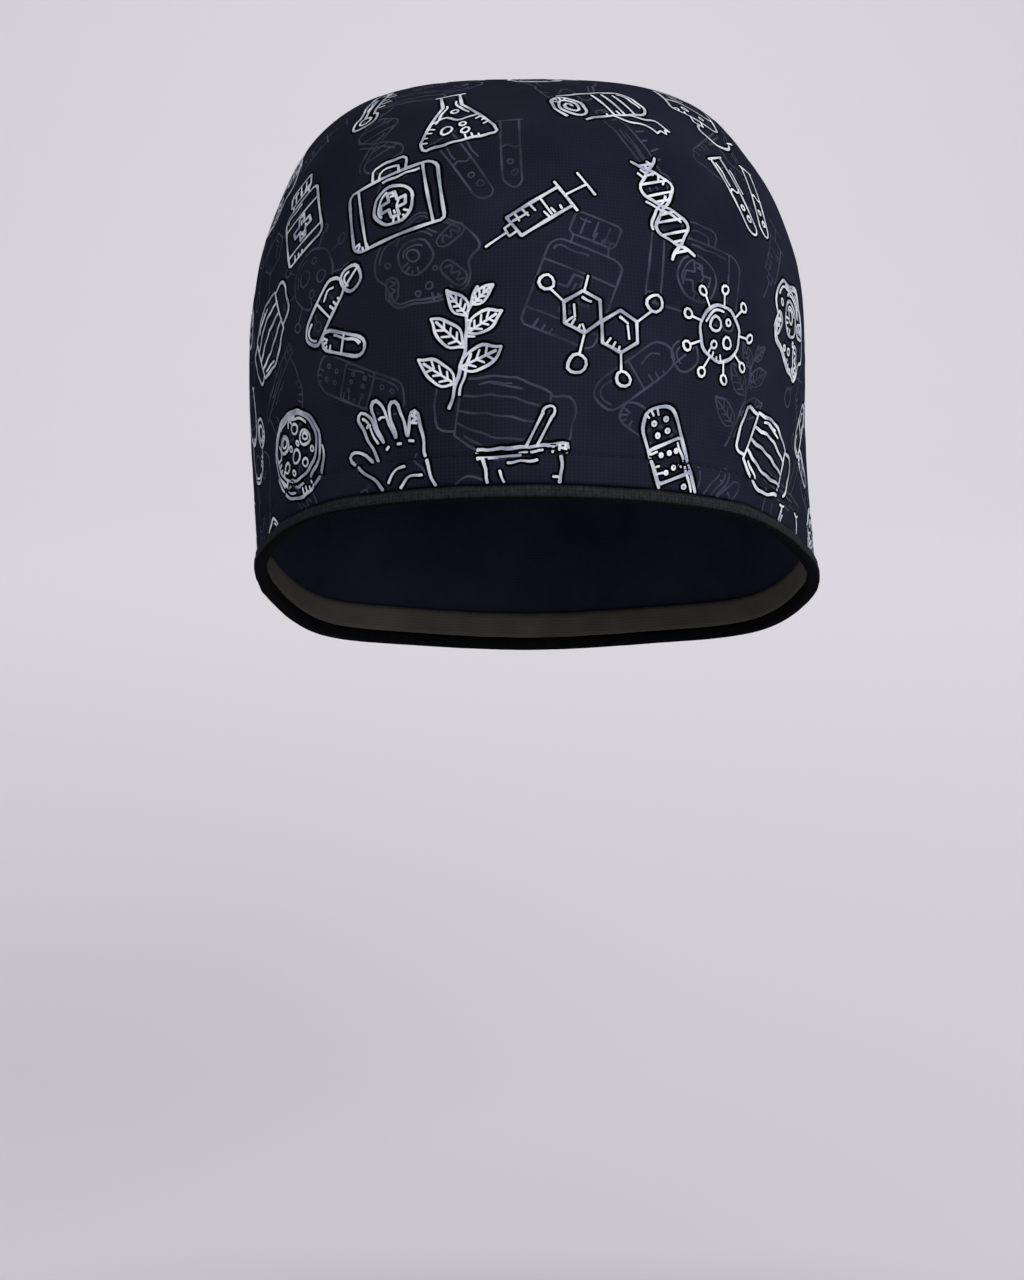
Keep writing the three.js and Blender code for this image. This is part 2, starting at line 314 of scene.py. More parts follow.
# %% [markdown]
# Each panel is one sheet of cotton. A flat grid is added, every point of it is
# laid on the cap's surface, and the sheet is then thickened inwards to the
# thickness of the cloth. The rows crowd together at the stitched line and the
# columns at the seam, so that both pressed lines stay crisp.

# %% Laying a sheet on the form
CLOTH = 1.0
GAP = 0.3
BINDING_LEAF = 1.0
HEM_FOOT = BINDING_LEAF + GAP

# heights of the lowest rows, closest together at the stitched line
HEM_ROWS = np.array([HEM_FOOT, 2.6, 4.0, 5.2, 6.4, 7.6, 8.8, 9.8, 10.6, 11.1,
                     11.5, 11.8, 12.0, 12.2, 12.5, 12.9, 13.5, 14.5])


def nothing_selected():
    for thing in bpy.context.selected_objects:
        thing.select_set(False)


def flat_grid(name, columns, rows):
    nothing_selected()
    bpy.ops.mesh.primitive_grid_add(x_subdivisions=columns - 1, y_subdivisions=rows - 1, size=1)
    piece = bpy.context.object
    piece.name = name
    piece.data.name = name
    where = np.empty(len(piece.data.vertices) * 3)
    piece.data.vertices.foreach_get("co", where)
    where = where.reshape(-1, 3)
    column = np.rint((where[:, 0] + 0.5) * (columns - 1)).astype(int)
    row = np.rint((where[:, 1] + 0.5) * (rows - 1)).astype(int)
    return piece, column, row


def place_points(piece, points):
    piece.data.vertices.foreach_set("co", (points * MM).ravel())
    piece.data.update()


def set_cloth_map(piece, runs):
    layer = piece.data.uv_layers[0]
    layer.name = "cloth_run"
    corners = np.empty(len(piece.data.loops), dtype=int)
    piece.data.loops.foreach_get("vertex_index", corners)
    layer.data.foreach_set("uv", (runs[corners] * MM).ravel())


def merge_close(piece, distance=0.00001):
    bpy.context.view_layer.objects.active = piece
    piece.select_set(True)
    bpy.ops.object.mode_set(mode="EDIT")
    bpy.ops.mesh.select_all(action="SELECT")
    bpy.ops.mesh.remove_doubles(threshold=distance)
    bpy.ops.object.mode_set(mode="OBJECT")


def thicken(piece, thickness):
    wall = piece.modifiers.new("thickness", "SOLIDIFY")
    wall.thickness = thickness * MM
    wall.offset = -1
    wall.use_even_offset = False
    bpy.context.view_layer.objects.active = piece
    bpy.ops.object.modifier_apply(modifier=wall.name)
    nothing_selected()
    piece.select_set(True)
    bpy.ops.object.shade_smooth()


def meridian_steps(turns, wall_rows, dome_rows):
    room = BROW_HEIGHT - rim_height(turns)
    hem = HEM_ROWS[:, None] / room[None, :]
    last = HEM_ROWS[-1] / room
    share = np.linspace(0, 1, wall_rows + 1)[1:, None]
    wall = last[None, :] + (1 - last[None, :]) * share
    dome = 1 + np.linspace(0, 1, dome_rows + 1)[1:, None] * np.ones_like(room)[None, :]
    return np.concatenate([hem, wall, dome])


# One degree of turn is given the length that it has on a round cap of this
# radius, which is close to what it measures at the brow.
CLOTH_RADIUS = 96


def lay_panel(name, turns, wall_rows, dome_rows, side):
    steps = meridian_steps(turns, wall_rows, dome_rows)
    piece, column, row = flat_grid(name, len(turns), len(steps))
    turn, step = turns[column], steps[row, column]
    points = cloth_point(turn, step, 0.0, side)
    top = step > 2 - 1e-4
    points[top] = (0, CROWN_AXIS_Y + side * HALF_SEAM, CROWN_HEIGHT - SEAM_PRESS)
    around = np.radians(turn_between(turn, turns.mean())) * CLOTH_RADIUS
    room = BROW_HEIGHT - rim_height(turn)
    run_up = np.where(step < 1, step * room, room + (step - 1) * DOME_LENGTH)
    place_points(piece, points)
    set_cloth_map(piece, np.stack([around, run_up], axis=-1))
    merge_close(piece)
    thicken(piece, CLOTH)
    print(name, "has", len(piece.data.polygons), "faces")
    return piece


# columns beside the seam, in degrees from it
NEAR_SEAM = np.array([0, 0.25, 0.5, 0.8, 1.15, 1.6, 2.2, 3.0, 4.0])
front_turns = np.concatenate([-90 + NEAR_SEAM, np.linspace(-85, 85, 137), (90 - NEAR_SEAM)[::-1]])
front_panel = lay_panel("scrub_front_panel", front_turns, wall_rows=18, dome_rows=76, side=-1)

# %% [markdown]
# The back panel is laid in the same way. Its nape is gathered, so its columns
# stand closer together there, about fifteen to a gather, and it has more rows,
# because its wall is much taller than the one at the front.

# %% The back panel, with finer columns for its gathers
back_turns = np.concatenate([90 + NEAR_SEAM, np.linspace(95, 129, 27), np.linspace(130, 230, 132),
                             np.linspace(231, 265, 27), (270 - NEAR_SEAM)[::-1]])
back_panel = lay_panel("scrub_back_panel", back_turns, wall_rows=40, dome_rows=72, side=1)

# %% [markdown]
# Inside the hem runs a plain strip of the same cotton, wrong side out. It
# shows at the side, where the cap is open. It is a closed band: a long grid is
# laid round the inside and its two ends are merged.

# %% The strip inside the hem
FACING = 0.8
FACING_FOOT = BINDING_HEIGHT + GAP
FACING_TOP = FACING_FOOT + 8.1
FACING_THICK = FACING - 0.15
FACING_WOBBLE = 0.12
RIM_RADIUS = 93


def lay_band(name, heights, inset, thickness, around_count=480):
    turns = np.linspace(0, 360, around_count + 1)
    piece, column, row = flat_grid(name, len(turns), len(heights))
    turn = turns[column]
    step = heights[row] / (BROW_HEIGHT - rim_height(turn))
    wobble = FACING_WOBBLE * np.sin(np.radians(turn) * 17 + 0.4) * np.sin(heights[row] * 0.5)
    lift = -(inset + FACING_WOBBLE) + wobble
    points = surface(turn, step) + outward(turn, step) * lift[:, None]
    place_points(piece, points)
    set_cloth_map(piece, np.stack([np.radians(turn) * RIM_RADIUS, heights[row]], axis=-1))
    merge_close(piece)
    thicken(piece, thickness)
    print(name, "has", len(piece.data.polygons), "faces")
    return piece


facing_rows = np.linspace(FACING_FOOT, FACING_TOP, 7)
hem_facing = lay_band("hem_strip_inside", facing_rows, CLOTH + GAP, FACING_THICK)
print("the strip stands", FACING_FOOT, "to", round(FACING_TOP, 1), "mm above the rim")

# %% [markdown]
# The rim is finished with a narrow strip folded over the raw edge. Its section
# is a channel with soft corners. A closed loop of such sections follows the
# rim, a little uneven, as hand-fed binding always is.

# %% The folded strip round the rim
outer_face = -(GAP + BINDING_LEAF)
inner_face = CLOTH + GAP + BINDING_LEAF

# height above the rim's lower edge, depth in from the cloth
BINDING_OUTLINE = np.array([
    (0.75, outer_face - 0.02), (1.6, outer_face - 0.1), (2.4, outer_face - 0.1),
    (3.2, outer_face - 0.02), (3.7, outer_face + 0.18), (3.98, outer_face + 0.5),
    (3.95, -0.34), (3.2, -0.28), (1.2, -0.28), (1.05, 0.2), (1.05, 0.8),
    (1.2, CLOTH + 0.28), (3.2, CLOTH + 0.28), (3.95, CLOTH + 0.34),
    (3.98, inner_face - 0.45), (3.6, inner_face - 0.1), (2.4, inner_face),
    (1.2, inner_face), (0.5, inner_face - 0.15), (0.12, inner_face - 0.6),
    (0.0, inner_face - 1.3), (0.0, outer_face + 1.2), (0.1, outer_face + 0.55),
    (0.35, outer_face + 0.18),
])


# Above this height a corner moves up and down with the unevenness, below it
# hardly: the strip's fold lies straight along the rim. The outer leaf also
# moves in and out with it.
FOLD_STEADY = 2.8
FOLD_SHARE = 0.15
OUTER_LEAF = -0.6
OUTER_SHARE = 0.6


def lay_binding(name, around_count=720):
    corners = len(BINDING_OUTLINE)
    piece, column, row = flat_grid(name, around_count + 1, corners + 1)
    turn = np.linspace(0, 360, around_count + 1)[column]
    corner = BINDING_OUTLINE[row % corners]
    angle = np.radians(turn)
    uneven = (0.10 * np.sin(23 * angle + 0.5) + 0.07 * np.sin(41 * angle + 2.0)
              + 0.05 * np.sin(67 * angle))
    height = corner[:, 0] + np.where(corner[:, 0] > FOLD_STEADY, 1, FOLD_SHARE) * uneven
    inset = corner[:, 1] - np.where(corner[:, 1] < OUTER_LEAF, OUTER_SHARE * uneven, 0)
    step = height / (BROW_HEIGHT - rim_height(turn))
    points = surface(turn, step) - outward(turn, step) * inset[:, None]
    closed = np.vstack([BINDING_OUTLINE, BINDING_OUTLINE[:1]])
    sides = np.linalg.norm(np.diff(closed, axis=0), axis=1)
    run = np.concatenate([[0], np.cumsum(sides)])
    place_points(piece, points)
    set_cloth_map(piece, np.stack([angle * RIM_RADIUS, run[row]], axis=-1))
    merge_close(piece)
    nothing_selected()
    piece.select_set(True)
    bpy.ops.object.shade_smooth()
    print(name, "has", len(piece.data.polygons), "faces")
    return piece


rim_binding = lay_binding("rim_fold")

# %% [markdown]
# The hem is held by one row of machine stitches in a thread of the cloth's own
# colour. Each stitch is a short rounded length of thread, sunk into the line
# that it pulls into the cloth. One stitch is modelled and copied all round.

# %% One stitch
STITCH_LONG = 2.3
STITCH_PITCH = 3.0
STITCH_LIFT = 0.12
STITCH_SLANT = 0.05
STITCH_FLATNESS = 0.75
THREAD = 0.42


def model_stitch():
    nothing_selected()
    bpy.ops.mesh.primitive_uv_sphere_add(segments=8, ring_count=6, radius=0.5)
    stitch = bpy.context.object
    bpy.ops.object.mode_set(mode="EDIT")
    bpy.ops.mesh.select_all(action="SELECT")
    bpy.ops.transform.resize(value=(THREAD, THREAD, THREAD))
    bpy.ops.object.mode_set(mode="OBJECT")
    shape = np.array([corner.co for corner in stitch.data.vertices])
    stretch = (STITCH_LONG - THREAD) / 2
    above_or_below = np.sign(np.round(shape[:, 2], 2))
    shape[:, 2] += stretch * above_or_below
    faces = [list(face.vertices) for face in stitch.data.polygons]
    bpy.data.objects.remove(stitch, do_unlink=True)
    return shape, faces


stitch_shape, stitch_faces = model_stitch()
print("a stitch has", len(stitch_faces), "faces")

# %% [markdown]
# The row follows the pressed line, and each stitch leans a little its own way,
# as machine stitches do. A repeated copy along a curve could do it too, but
# then the stitches couldn't be turned to the cloth under each of them.

# %% A row of stitches round the hem
# the line is followed in tenths of a degree, and a stitch points this far on
TENTHS = 3600
LOOK_AHEAD = 0.5


def stitch_row(name, height, lift):
    turns = np.linspace(0, 360, TENTHS + 1)[:-1]
    steps = height / (BROW_HEIGHT - rim_height(turns))
    line = cloth_point(turns, steps, lift)
    lengths = np.linalg.norm(np.roll(line, -1, axis=0) - line, axis=1)
    passed = np.concatenate([[0], np.cumsum(lengths)])
    count = int(passed[-1] / STITCH_PITCH)
    points, faces = [], []
    for i in range(count):
        at = (i + 0.5) * passed[-1] / count
        turn = np.interp(at, passed, np.append(turns, 360.0))
        ahead = np.interp(at + LOOK_AHEAD, passed, np.append(turns, 360.0))
        here = np.array([turn, ahead])
        step = height / (BROW_HEIGHT - rim_height(here))
        centre, nearby = cloth_point(here, step, lift)
        along = nearby - centre
        along = along / np.linalg.norm(along)
        out = outward(here, step)[0]
        side = np.cross(out, along)
        side = side / np.linalg.norm(side)
        out = np.cross(along, side)
        start = len(points) * len(stitch_shape)
        lean = along + STITCH_SLANT * math.sin(i * 2.4) * side
        placed = (centre + stitch_shape[:, 2:3] * lean + stitch_shape[:, 0:1] * side
                  + STITCH_FLATNESS * stitch_shape[:, 1:2] * out)
        points.append(placed)
        faces += [[start + corner for corner in face] for face in stitch_faces]
    mesh = bpy.data.meshes.new(name)
    mesh.from_pydata((np.concatenate(points) * MM).tolist(), [], faces)
    piece = bpy.data.objects.new(name, mesh)
    bpy.context.scene.collection.objects.link(piece)
    merge_close(piece, 0.000001)
    bpy.ops.object.mode_set(mode="EDIT")
    bpy.ops.mesh.select_all(action="SELECT")
    bpy.ops.mesh.normals_make_consistent(inside=False)
    bpy.ops.object.mode_set(mode="OBJECT")
    bpy.ops.object.shade_smooth()
    print(name, "has", count, "stitches")
    return piece


hem_stitches = stitch_row("hem_stitches", STITCH_HEIGHT, STITCH_LIFT)

# %% [markdown]
# The cotton is printed with line drawings from a sick-room: bright white ones,
# and behind them fainter grey ones. Each drawing is made of a few lines,
# rings and curves on a square that reaches 10 units to each side of its
# middle, as a designer would sketch it before the print is laid out.

# %% Drawing helpers
def line(*corners):
    return np.array(corners, dtype=float)


# one corner every so many degrees
RING_STEP = 10


def ring(x, y, wide, tall=None, start=0, end=360):
    tall = wide if tall is None else tall
    count = max(10, int(abs(end - start) / RING_STEP))
    angle = np.radians(np.linspace(start, end, count + 1))
    return np.stack([x + wide * np.cos(angle), y + tall * np.sin(angle)], axis=-1)


# A smooth line through the given corners, six short pieces to each side.
def curve(*corners, closed=False):
    points = np.array(corners, dtype=float)
    if closed:
        points = np.vstack([points[-1:], points, points[:2]])
    else:
        points = np.vstack([2 * points[:1] - points[1:2], points, 2 * points[-1:] - points[-2:-1]])
    made = []
    for i in range(1, len(points) - 2):
        a, b, c, d = points[i - 1:i + 3]
        for t in np.linspace(0, 1, 7)[:-1]:
            made.append(0.5 * (2 * b + (c - a) * t + (2 * a - 5 * b + 4 * c - d) * t * t
                               + (3 * b - a - 3 * c + d) * t**3))
    made.append(points[-2])
    return np.array(made)


def turned(drawing, degrees, x=0.0, y=0.0, size=1.0):
    c, s = math.cos(math.radians(degrees)), math.sin(math.radians(degrees))
    turn = np.array([[c, -s], [s, c]]) * size
    return [stroke @ turn.T + (x, y) for stroke in drawing]


def rounded(x, y, wide, tall, corner):
    made = []
    for cx, cy, start in ((1, 1, 0), (-1, 1, 90), (-1, -1, 180), (1, -1, 270)):
        made.append(ring(x + cx * (wide - corner), y + cy * (tall - corner), corner, corner,
                         start, start + 90)[::2])
    made = np.vstack(made)
    return np.vstack([made, made[:1]])


# Points at even distances along a stroke. A short curve gets finer ones, so
# that a small ring stays round.
FINEST_PITCH = 0.42


def length_of(stroke):
    return np.linalg.norm(np.diff(stroke, axis=0), axis=1).sum()


def even_points(stroke, pitch):
    lengths = np.linalg.norm(np.diff(stroke, axis=0), axis=1)
    run = np.concatenate([[0], np.cumsum(lengths)])
    if len(stroke) > 2:
        pitch = min(pitch, max(FINEST_PITCH, run[-1] / 9))
    count = max(2, int(round(run[-1] / pitch)) + 1)
    at = np.linspace(0, run[-1], count)
    return np.stack([np.interp(at, run, stroke[:, k]) for k in (0, 1)], axis=-1)


# A pen stops at a sharp corner and starts again, and so does a stroke.
def without_corners(stroke, most=48):
    way = np.diff(stroke, axis=0)
    heading = np.degrees(np.arctan2(way[:, 1], way[:, 0]))
    bend = np.abs(turn_between(np.diff(heading), 0.0))
    cuts = [0] + [i + 1 for i in range(len(bend)) if bend[i] > most] + [len(stroke) - 1]
    return [stroke[a:b + 1] for a, b in zip(cuts, cuts[1:]) if b > a]


def plus_sign(x, y, across, up, half):
    return line((x - half, y + up), (x - half, y + half), (x - across, y + half),
                (x - across, y - half), (x - half, y - half), (x - half, y - up),
                (x + half, y - up), (x + half, y - half), (x + across, y - half),
                (x + across, y + half), (x + half, y + half), (x + half, y + up),
                (x - half, y + up))


print("a curve of four corners has", len(curve((0, 0), (1, 1), (2, 0), (3, 1))), "points")

# %% [markdown]
# The drawings themselves come in three groups. Each is one short function, so
# that a drawing can be changed by itself, and symmetrical things are drawn
# once and mirrored. First come the instruments.

# %% Drawings of instruments
def stethoscope():
    return [
        curve((-6.5, 9.5), (-7.6, 6), (-6.5, 1.5), (-3.2, -0.8), (0, -1), (2.4, 1.5), (3.2, 6),
              (2.2, 9.5)),
        curve((-7.6, 9.8), (-6.5, 9.5), (-5.6, 9.8)), curve((1.2, 9.8), (2.2, 9.5), (3.4, 9.8)),
        curve((-3.2, -0.8), (-3.6, -4.5), (-1.4, -8.4), (3, -8.8), (6, -6), (6.6, -2.2)),
        ring(6.8, 0.6, 2.8), ring(6.8, 0.6, 1.5), line((-4.6, 0.2), (-2.2, -1.6)),
    ]


def microscope():
    return [
        line((-7.5, -9.4), (6.5, -9.4)),
        curve((-5.5, -9.4), (-5, -7.6), (-2, -7.2), (3, -7.2), (5, -9.4)),
        curve((2.6, -7.2), (6.6, -3.6), (6.4, 2), (2.6, 5)),
        curve((1.2, -5.2), (4.2, -2.6), (4.2, 1), (1.8, 2.8)),
        line((-4.6, 2.4), (-0.6, 9.2), (1.8, 7.8), (-2.2, 1), (-4.6, 2.4)),
        line((-0.2, 8.4), (0.6, 10), (2.4, 9), (1.4, 7.4)),
        line((-4.2, 1.2), (-5.2, -0.6), (-3.8, -1.4), (-2.8, 0.4)),
        line((-7.4, -3.6), (1, -3.6)), line((-6.8, -4.6), (0.6, -4.6)), ring(3.4, -0.8, 0.9),
    ]


def syringe():
    barrel = [
        line((-1.8, 5), (-1.8, -4.6), (1.8, -4.6), (1.8, 5), (-1.8, 5)), line((-3, 5), (3, 5)),
        line((0, 5), (0, 8.8)), line((-2.2, 8.9), (2.2, 8.9)),
        line((-0.7, -4.6), (-0.7, -6), (0.7, -6), (0.7, -4.6)),
        line((0, -6), (0, -9.8)), line((-1.5, 1.4), (1.5, 1.4)),
    ]
    marks = [line((-1.8, y), (-0.4, y)) for y in (-3.2, -1.8, -0.4)]
    return turned(barrel + marks, -38)


def thermometer():
    stem = [
        curve((-1.3, -5.2), (-1.3, 8), (0, 9.6), (1.3, 8), (1.3, -5.2)),
        ring(0, -7, 2.4, 2.4, -238, 58), ring(0, -7, 1.1), line((0, -5.8), (0, 3.6)),
    ]
    marks = [line((1.9, y), (3.4 if i % 2 else 2.8, y))
             for i, y in enumerate((-2.8, -0.8, 1.2, 3.2, 5.2))]
    return turned(stem + marks, 24)


def flask():
    return [
        line((-1.8, 9), (-1.8, 3), (-7, -6.8)), line((1.8, 9), (1.8, 3), (7, -6.8)),
        curve((-7, -6.8), (-7, -8.8), (-5.4, -9.2), (0, -9.3), (5.4, -9.2), (7, -8.8), (7, -6.8)),
        line((-2.8, 9.2), (2.8, 9.2)), curve((-4.5, -2.2), (-2, -1.2), (1, -3), (4.5, -2)),
        ring(-2, -5.6, 1.1), ring(1.6, -6.8, 0.8), ring(1.2, -4.6, 0.6), ring(0.4, 0.6, 0.7),
    ]


def tubes():
    tube = [line((-1.7, 8.2), (-1.7, -5.4)), line((1.7, 8.2), (1.7, -5.4)),
            ring(0, -5.4, 1.7, 2.2, 180, 360), line((-2.4, 8.3), (2.4, 8.3)),
            curve((-1.7, 1.2), (-0.6, 1.7), (0.6, 0.8), (1.7, 1.3)),
            ring(-0.2, -2.2, 0.5), ring(0.4, -4.6, 0.6)]
    return turned(tube, 16, -4.4, -0.4) + turned(tube, -10, 3.6, 0.2, 0.95)


def mask():
    return [
        curve((-6.4, 3.6), (0, 5), (6.4, 3.6)), curve((-6.4, -4.6), (0, -6.8), (6.4, -4.6)),
        line((-6.4, 3.6), (-6.4, -4.6)), line((6.4, 3.6), (6.4, -4.6)),
        curve((-6.4, 1.2), (0, 2.2), (6.4, 1.2)), curve((-6.4, -1), (0, -0.6), (6.4, -1)),
        curve((-6.4, -2.8), (0, -3.8), (6.4, -2.8)), line((-2.2, 3.6), (2.2, 3.6)),
        curve((-6.4, 3.2), (-9.6, 3), (-9.9, -0.4), (-9.2, -3.6), (-6.4, -4)),
        curve((6.4, 3.2), (9.6, 3), (9.9, -0.4), (9.2, -3.6), (6.4, -4)),
    ]


def scissors():
    blade = [curve((0.5, 0.4), (2.2, 3.6), (2.4, 9.4), (-0.6, 3)), line((-0.2, -0.6), (-2.4, -4.2)),
             ring(-3.6, -6.4, 2.3, 2.7), ring(-3.6, -6.4, 1.3, 1.7)]
    other = [stroke * (-1, 1) for stroke in blade]
    return turned(blade + other + [ring(0, 0.6, 0.6)], 18)


def glove():
    return turned([
        curve((-3.6, -9.2), (-4, -5.4), (-5.2, -1.2), (-8, 2.6), (-7.6, 4.2), (-6, 4), (-3.4, 0.6),
              (-3.6, 5.4), (-3.8, 8.6), (-2.6, 9.2), (-1.6, 7.6), (-1.2, 3.4), (-0.8, 8.6),
              (0.2, 10), (1.2, 8.8), (1.2, 3.4), (2.2, 7.6), (3.4, 8.4), (3.9, 7), (3.4, 2.6),
              (4.8, 5.2), (6, 5.6), (6.2, 4), (4.8, -0.6), (4, -4.6), (4, -9.2)),
        line((-4, -9.3), (4.4, -9.3)), line((-3.7, -7.9), (4, -7.9)),
        curve((-3, -2.6), (-1.4, -1.2), (0.8, -1.4)), curve((-2.6, -4.6), (0, -3.2), (2.6, -3.6)),
        line((-1, 2.2), (-0.4, 2.4)), line((1.2, 2.4), (1.8, 2.2)), line((3.2, 1.8), (3.8, 1.4)),
        curve((-3, 6.8), (-2.7, 7), (-2.2, 6.8)), curve((-0.3, 7), (0.2, 7.2), (0.8, 7)),
    ], -12)


# %% [markdown]
# The second group is what a patient is given: capsules, a plaster, a bottle, a
# first aid case, a mortar, a drip bag, a bandage and a sprig of a herb.

# %% Drawings of remedies
def capsules():
    pill = [rounded(0, 0, 7, 2.5, 2.5), line((0, 2.5), (0, -2.5)),
            curve((1.6, 1.2), (3.4, 1.4), (5, 0.6))]
    return (turned(pill, 38, -1.4, 2.2) + turned(pill, -28, 1.8, -5.2, 0.78)
            + [ring(6.6, 5.8, 2.4), line((5, 4.6), (8.2, 7))])


def plaster():
    strip = [rounded(0, 0, 9.6, 3.3, 3.2), rounded(0, 0, 3.1, 3.2, 0.4)]
    holes = [ring(x * side, y, 0.35) for x in (5, 7) for y in (-1.1, 1.1) for side in (-1, 1)]
    pad = [ring(x, y, 0.3) for x in (-1.4, 1.4) for y in (-1.4, 0.2, 1.6)]
    return turned(strip + holes + pad, -32)


def bottle():
    return [
        rounded(0, -2.6, 5.4, 6.6, 1.4), rounded(0, 7.2, 3.4, 1.8, 0.5),
        line((-2.6, 5.4), (-2.8, 4)), line((2.6, 5.4), (2.8, 4)),
        line((-5.4, 0.6), (5.4, 0.6)), line((-5.4, -6.6), (5.4, -6.6)),
        plus_sign(0, -3, 2.6, 2.8, 0.8),
    ] + [line((x, 6), (x, 8.4)) for x in (-1.8, 0, 1.8)]


def first_aid_case():
    return [
        rounded(0, -1.6, 9, 6.4, 1.6),
        curve((-3.4, 4.8), (-3.2, 7.6), (0, 8), (3.2, 7.6), (3.4, 4.8)),
        curve((-2, 4.8), (-1.8, 6.4), (0, 6.6), (1.8, 6.4), (2, 4.8)), ring(0, -1.6, 3.9),
        plus_sign(0, -1.6, 2.5, 2.5, 0.8),
        line((-6.6, 4.7), (-6.6, -7.9)), line((6.6, 4.7), (6.6, -7.9)),
    ]


def mortar():
    return [
        curve((-7, 1.6), (-6.4, -3), (-3.6, -6.4), (0, -7.2), (3.6, -6.4), (6.4, -3), (7, 1.6)),
        line((-8, 1.8), (8, 1.8)),
        curve((-8, 1.8), (-8.2, 3.2), (-7, 3.4), (0, 3.4), (7, 3.4), (8.2, 3.2), (8, 1.8)),
        curve((-3, -6.8), (-4.2, -9), (0, -9.4), (4.2, -9), (3, -6.8)),
        line((0.6, 3.4), (4.4, 9.4)), line((2.6, 3.4), (6, 8.6)),
        ring(5.4, 9.4, 1.1, 1.1, -60, 200), curve((-4.4, -0.6), (-3.4, -3), (-1.8, -4.4)),
    ]


def drip_bag():
    return [
        rounded(0, 2.2, 4.8, 6.6, 1.4), curve((-1.4, 8.8), (0, 10), (1.4, 8.8)),
        curve((-4.8, 1), (-1.6, 1.8), (1.6, 0.4), (4.8, 1.2)),
        line((-1, -4.4), (-1, -6.4), (1, -6.4), (1, -4.4)),
        curve((0, -6.4), (0.2, -8.8), (3, -9.6), (6, -8), (7.4, -4.6)), line((7, -4.4), (8.6, -2)),
        ring(-1.6, -1.6, 0.6), ring(1.4, -2.4, 0.45), line((-3, 4), (-0.6, 4)),
        line((-3, 5.8), (-1.4, 5.8)),
    ]


def bandage_roll():
    angle = np.linspace(0, 5.2 * math.pi, 70)
    coil = (0.7 + 0.24 * angle)[:, None] * np.stack([0.62 * np.cos(angle), np.sin(angle)], axis=-1)
    weave = [line((x, 4.2 - 0.15 * x), (x - 0.6, -4.6)) for x in (2, 4, 6)]
    outline = curve((-4.2, 4.8), (1, 4.7), (6.8, 4.6), (8.6, 3.4), (9, 0), (8.6, -3.4), (6.8, -4.7),
                    (4, -4.8), (-4, -4.8))
    tail = [curve((4, -4.8), (6, -6), (8.6, -6.6), (10, -9)),
            curve((1, -4.8), (3.4, -7), (6, -8), (7, -9.8)),
            line((10, -9), (9.2, -8.8), (8.8, -9.8), (8, -9.2), (7, -9.8))]
    return turned([coil + (-4.4, 0), outline] + tail + weave, 14, -0.8, 1.6)


def herb_sprig():
    stem = curve((-1.5, -9.8), (-0.6, -5), (0.2, 0), (0, 5), (1, 9.4))
    leaves = [stem]
    for x, y, lean, size in ((-0.9, -6, 62, 1.0), (-0.4, -3.4, -58, 1.05), (0, -0.2, 56, 1.0),
                             (0.2, 2.2, -52, 0.9), (0.1, 4.6, 46, 0.75), (0.5, 6.6, -42, 0.6)):
        blade = [curve((0, 0), (1.5, 2), (1.4, 4.6), (0, 7)),
                 curve((0, 0), (-1.5, 2), (-1.4, 4.6), (0, 7)), line((0, 0.6), (0, 6))]
        blade += [line((0, v), (side, v + 0.9)) for v in (1.4, 2.8, 4.2) for side in (-1, 1)]
        leaves += turned(blade, lean, x, y, size)
    return leaves


# %% [markdown]
# The third group is what a microscope shows, and a tooth. The wavy wall of the
# cell and the twist of the helix are formulas, because a hand can't place so
# many points evenly.

# %% Drawings of the small and the unseen
def helix():
    y = np.linspace(-9.6, 9.6, 41)
    one, other = 3.3 * np.sin(y * 0.42), -3.3 * np.sin(y * 0.42)
    rungs = [line((-3.1 * math.sin(v * 0.42), v), (3.1 * math.sin(v * 0.42), v))
             for v in (-8.6, -6.6, -5, -2.6, -1.2, 1.2, 2.6, 5, 6.6, 8.6)]
    return turned([np.stack([one, y], axis=-1), np.stack([other, y], axis=-1)] + rungs, 28)


def molecule():
    def six(x, y, r):
        return ring(x, y, r, r, 30, 390)[::6]
    return [six(-3.6, 2.6, 3.4), six(2.4, -0.8, 3.4),
            line((-6.6, 4.4), (-8.8, 6.2)), ring(-9.2, 7.4, 1.2),
            line((-3.6, -0.8), (-4.4, -4.2)), ring(-4.8, -5.8, 1.5),
            line((2.4, -4.2), (2.6, -7)), ring(2.8, -8.3, 1.2),
            line((5.4, 0.8), (7.8, 2.8)), ring(8.6, 4, 1.4),
            line((-5, 1.6), (-5, 3.6)), line((3.8, -1.8), (3.8, 0.4)), line((-3.4, 6), (-2.4, 8.4))]


def germ():
    spikes = []
    for i in range(9):
        angle = math.radians(i * 40 + 8)
        c, s = math.cos(angle), math.sin(angle)
        spikes += [line((5.2 * c, 5.2 * s), (7.6 * c, 7.6 * s)), ring(8.5 * c, 8.5 * s, 0.85)]
    return [ring(0, 0, 5.2), ring(-1.6, 1.4, 1.4), ring(1.9, -1.4, 1.1), ring(1.6, 2.4, 0.6),
            ring(-1.4, -2.5, 0.7)] + spikes


def tooth():
    return [
        curve((-6.4, 4.6), (-5.8, 7.6), (-3, 8.6), (0, 7.2), (3, 8.6), (5.8, 7.6), (6.4, 4.6),
              (5.2, 0.6), (4.8, -4), (3.4, -8.6), (2, -8.8), (1.2, -4.4), (0, -2.6),
              (-1.2, -4.4), (-2, -8.8), (-3.4, -8.6), (-4.8, -4), (-5.2, 0.6), closed=True),
        curve((-3.6, 5.4), (-1.4, 4.2), (0, 5), (1.6, 4), (3.4, 5)),
        curve((-4.4, 3.4), (-4.2, 1.4), (-3.6, 0)),
    ]


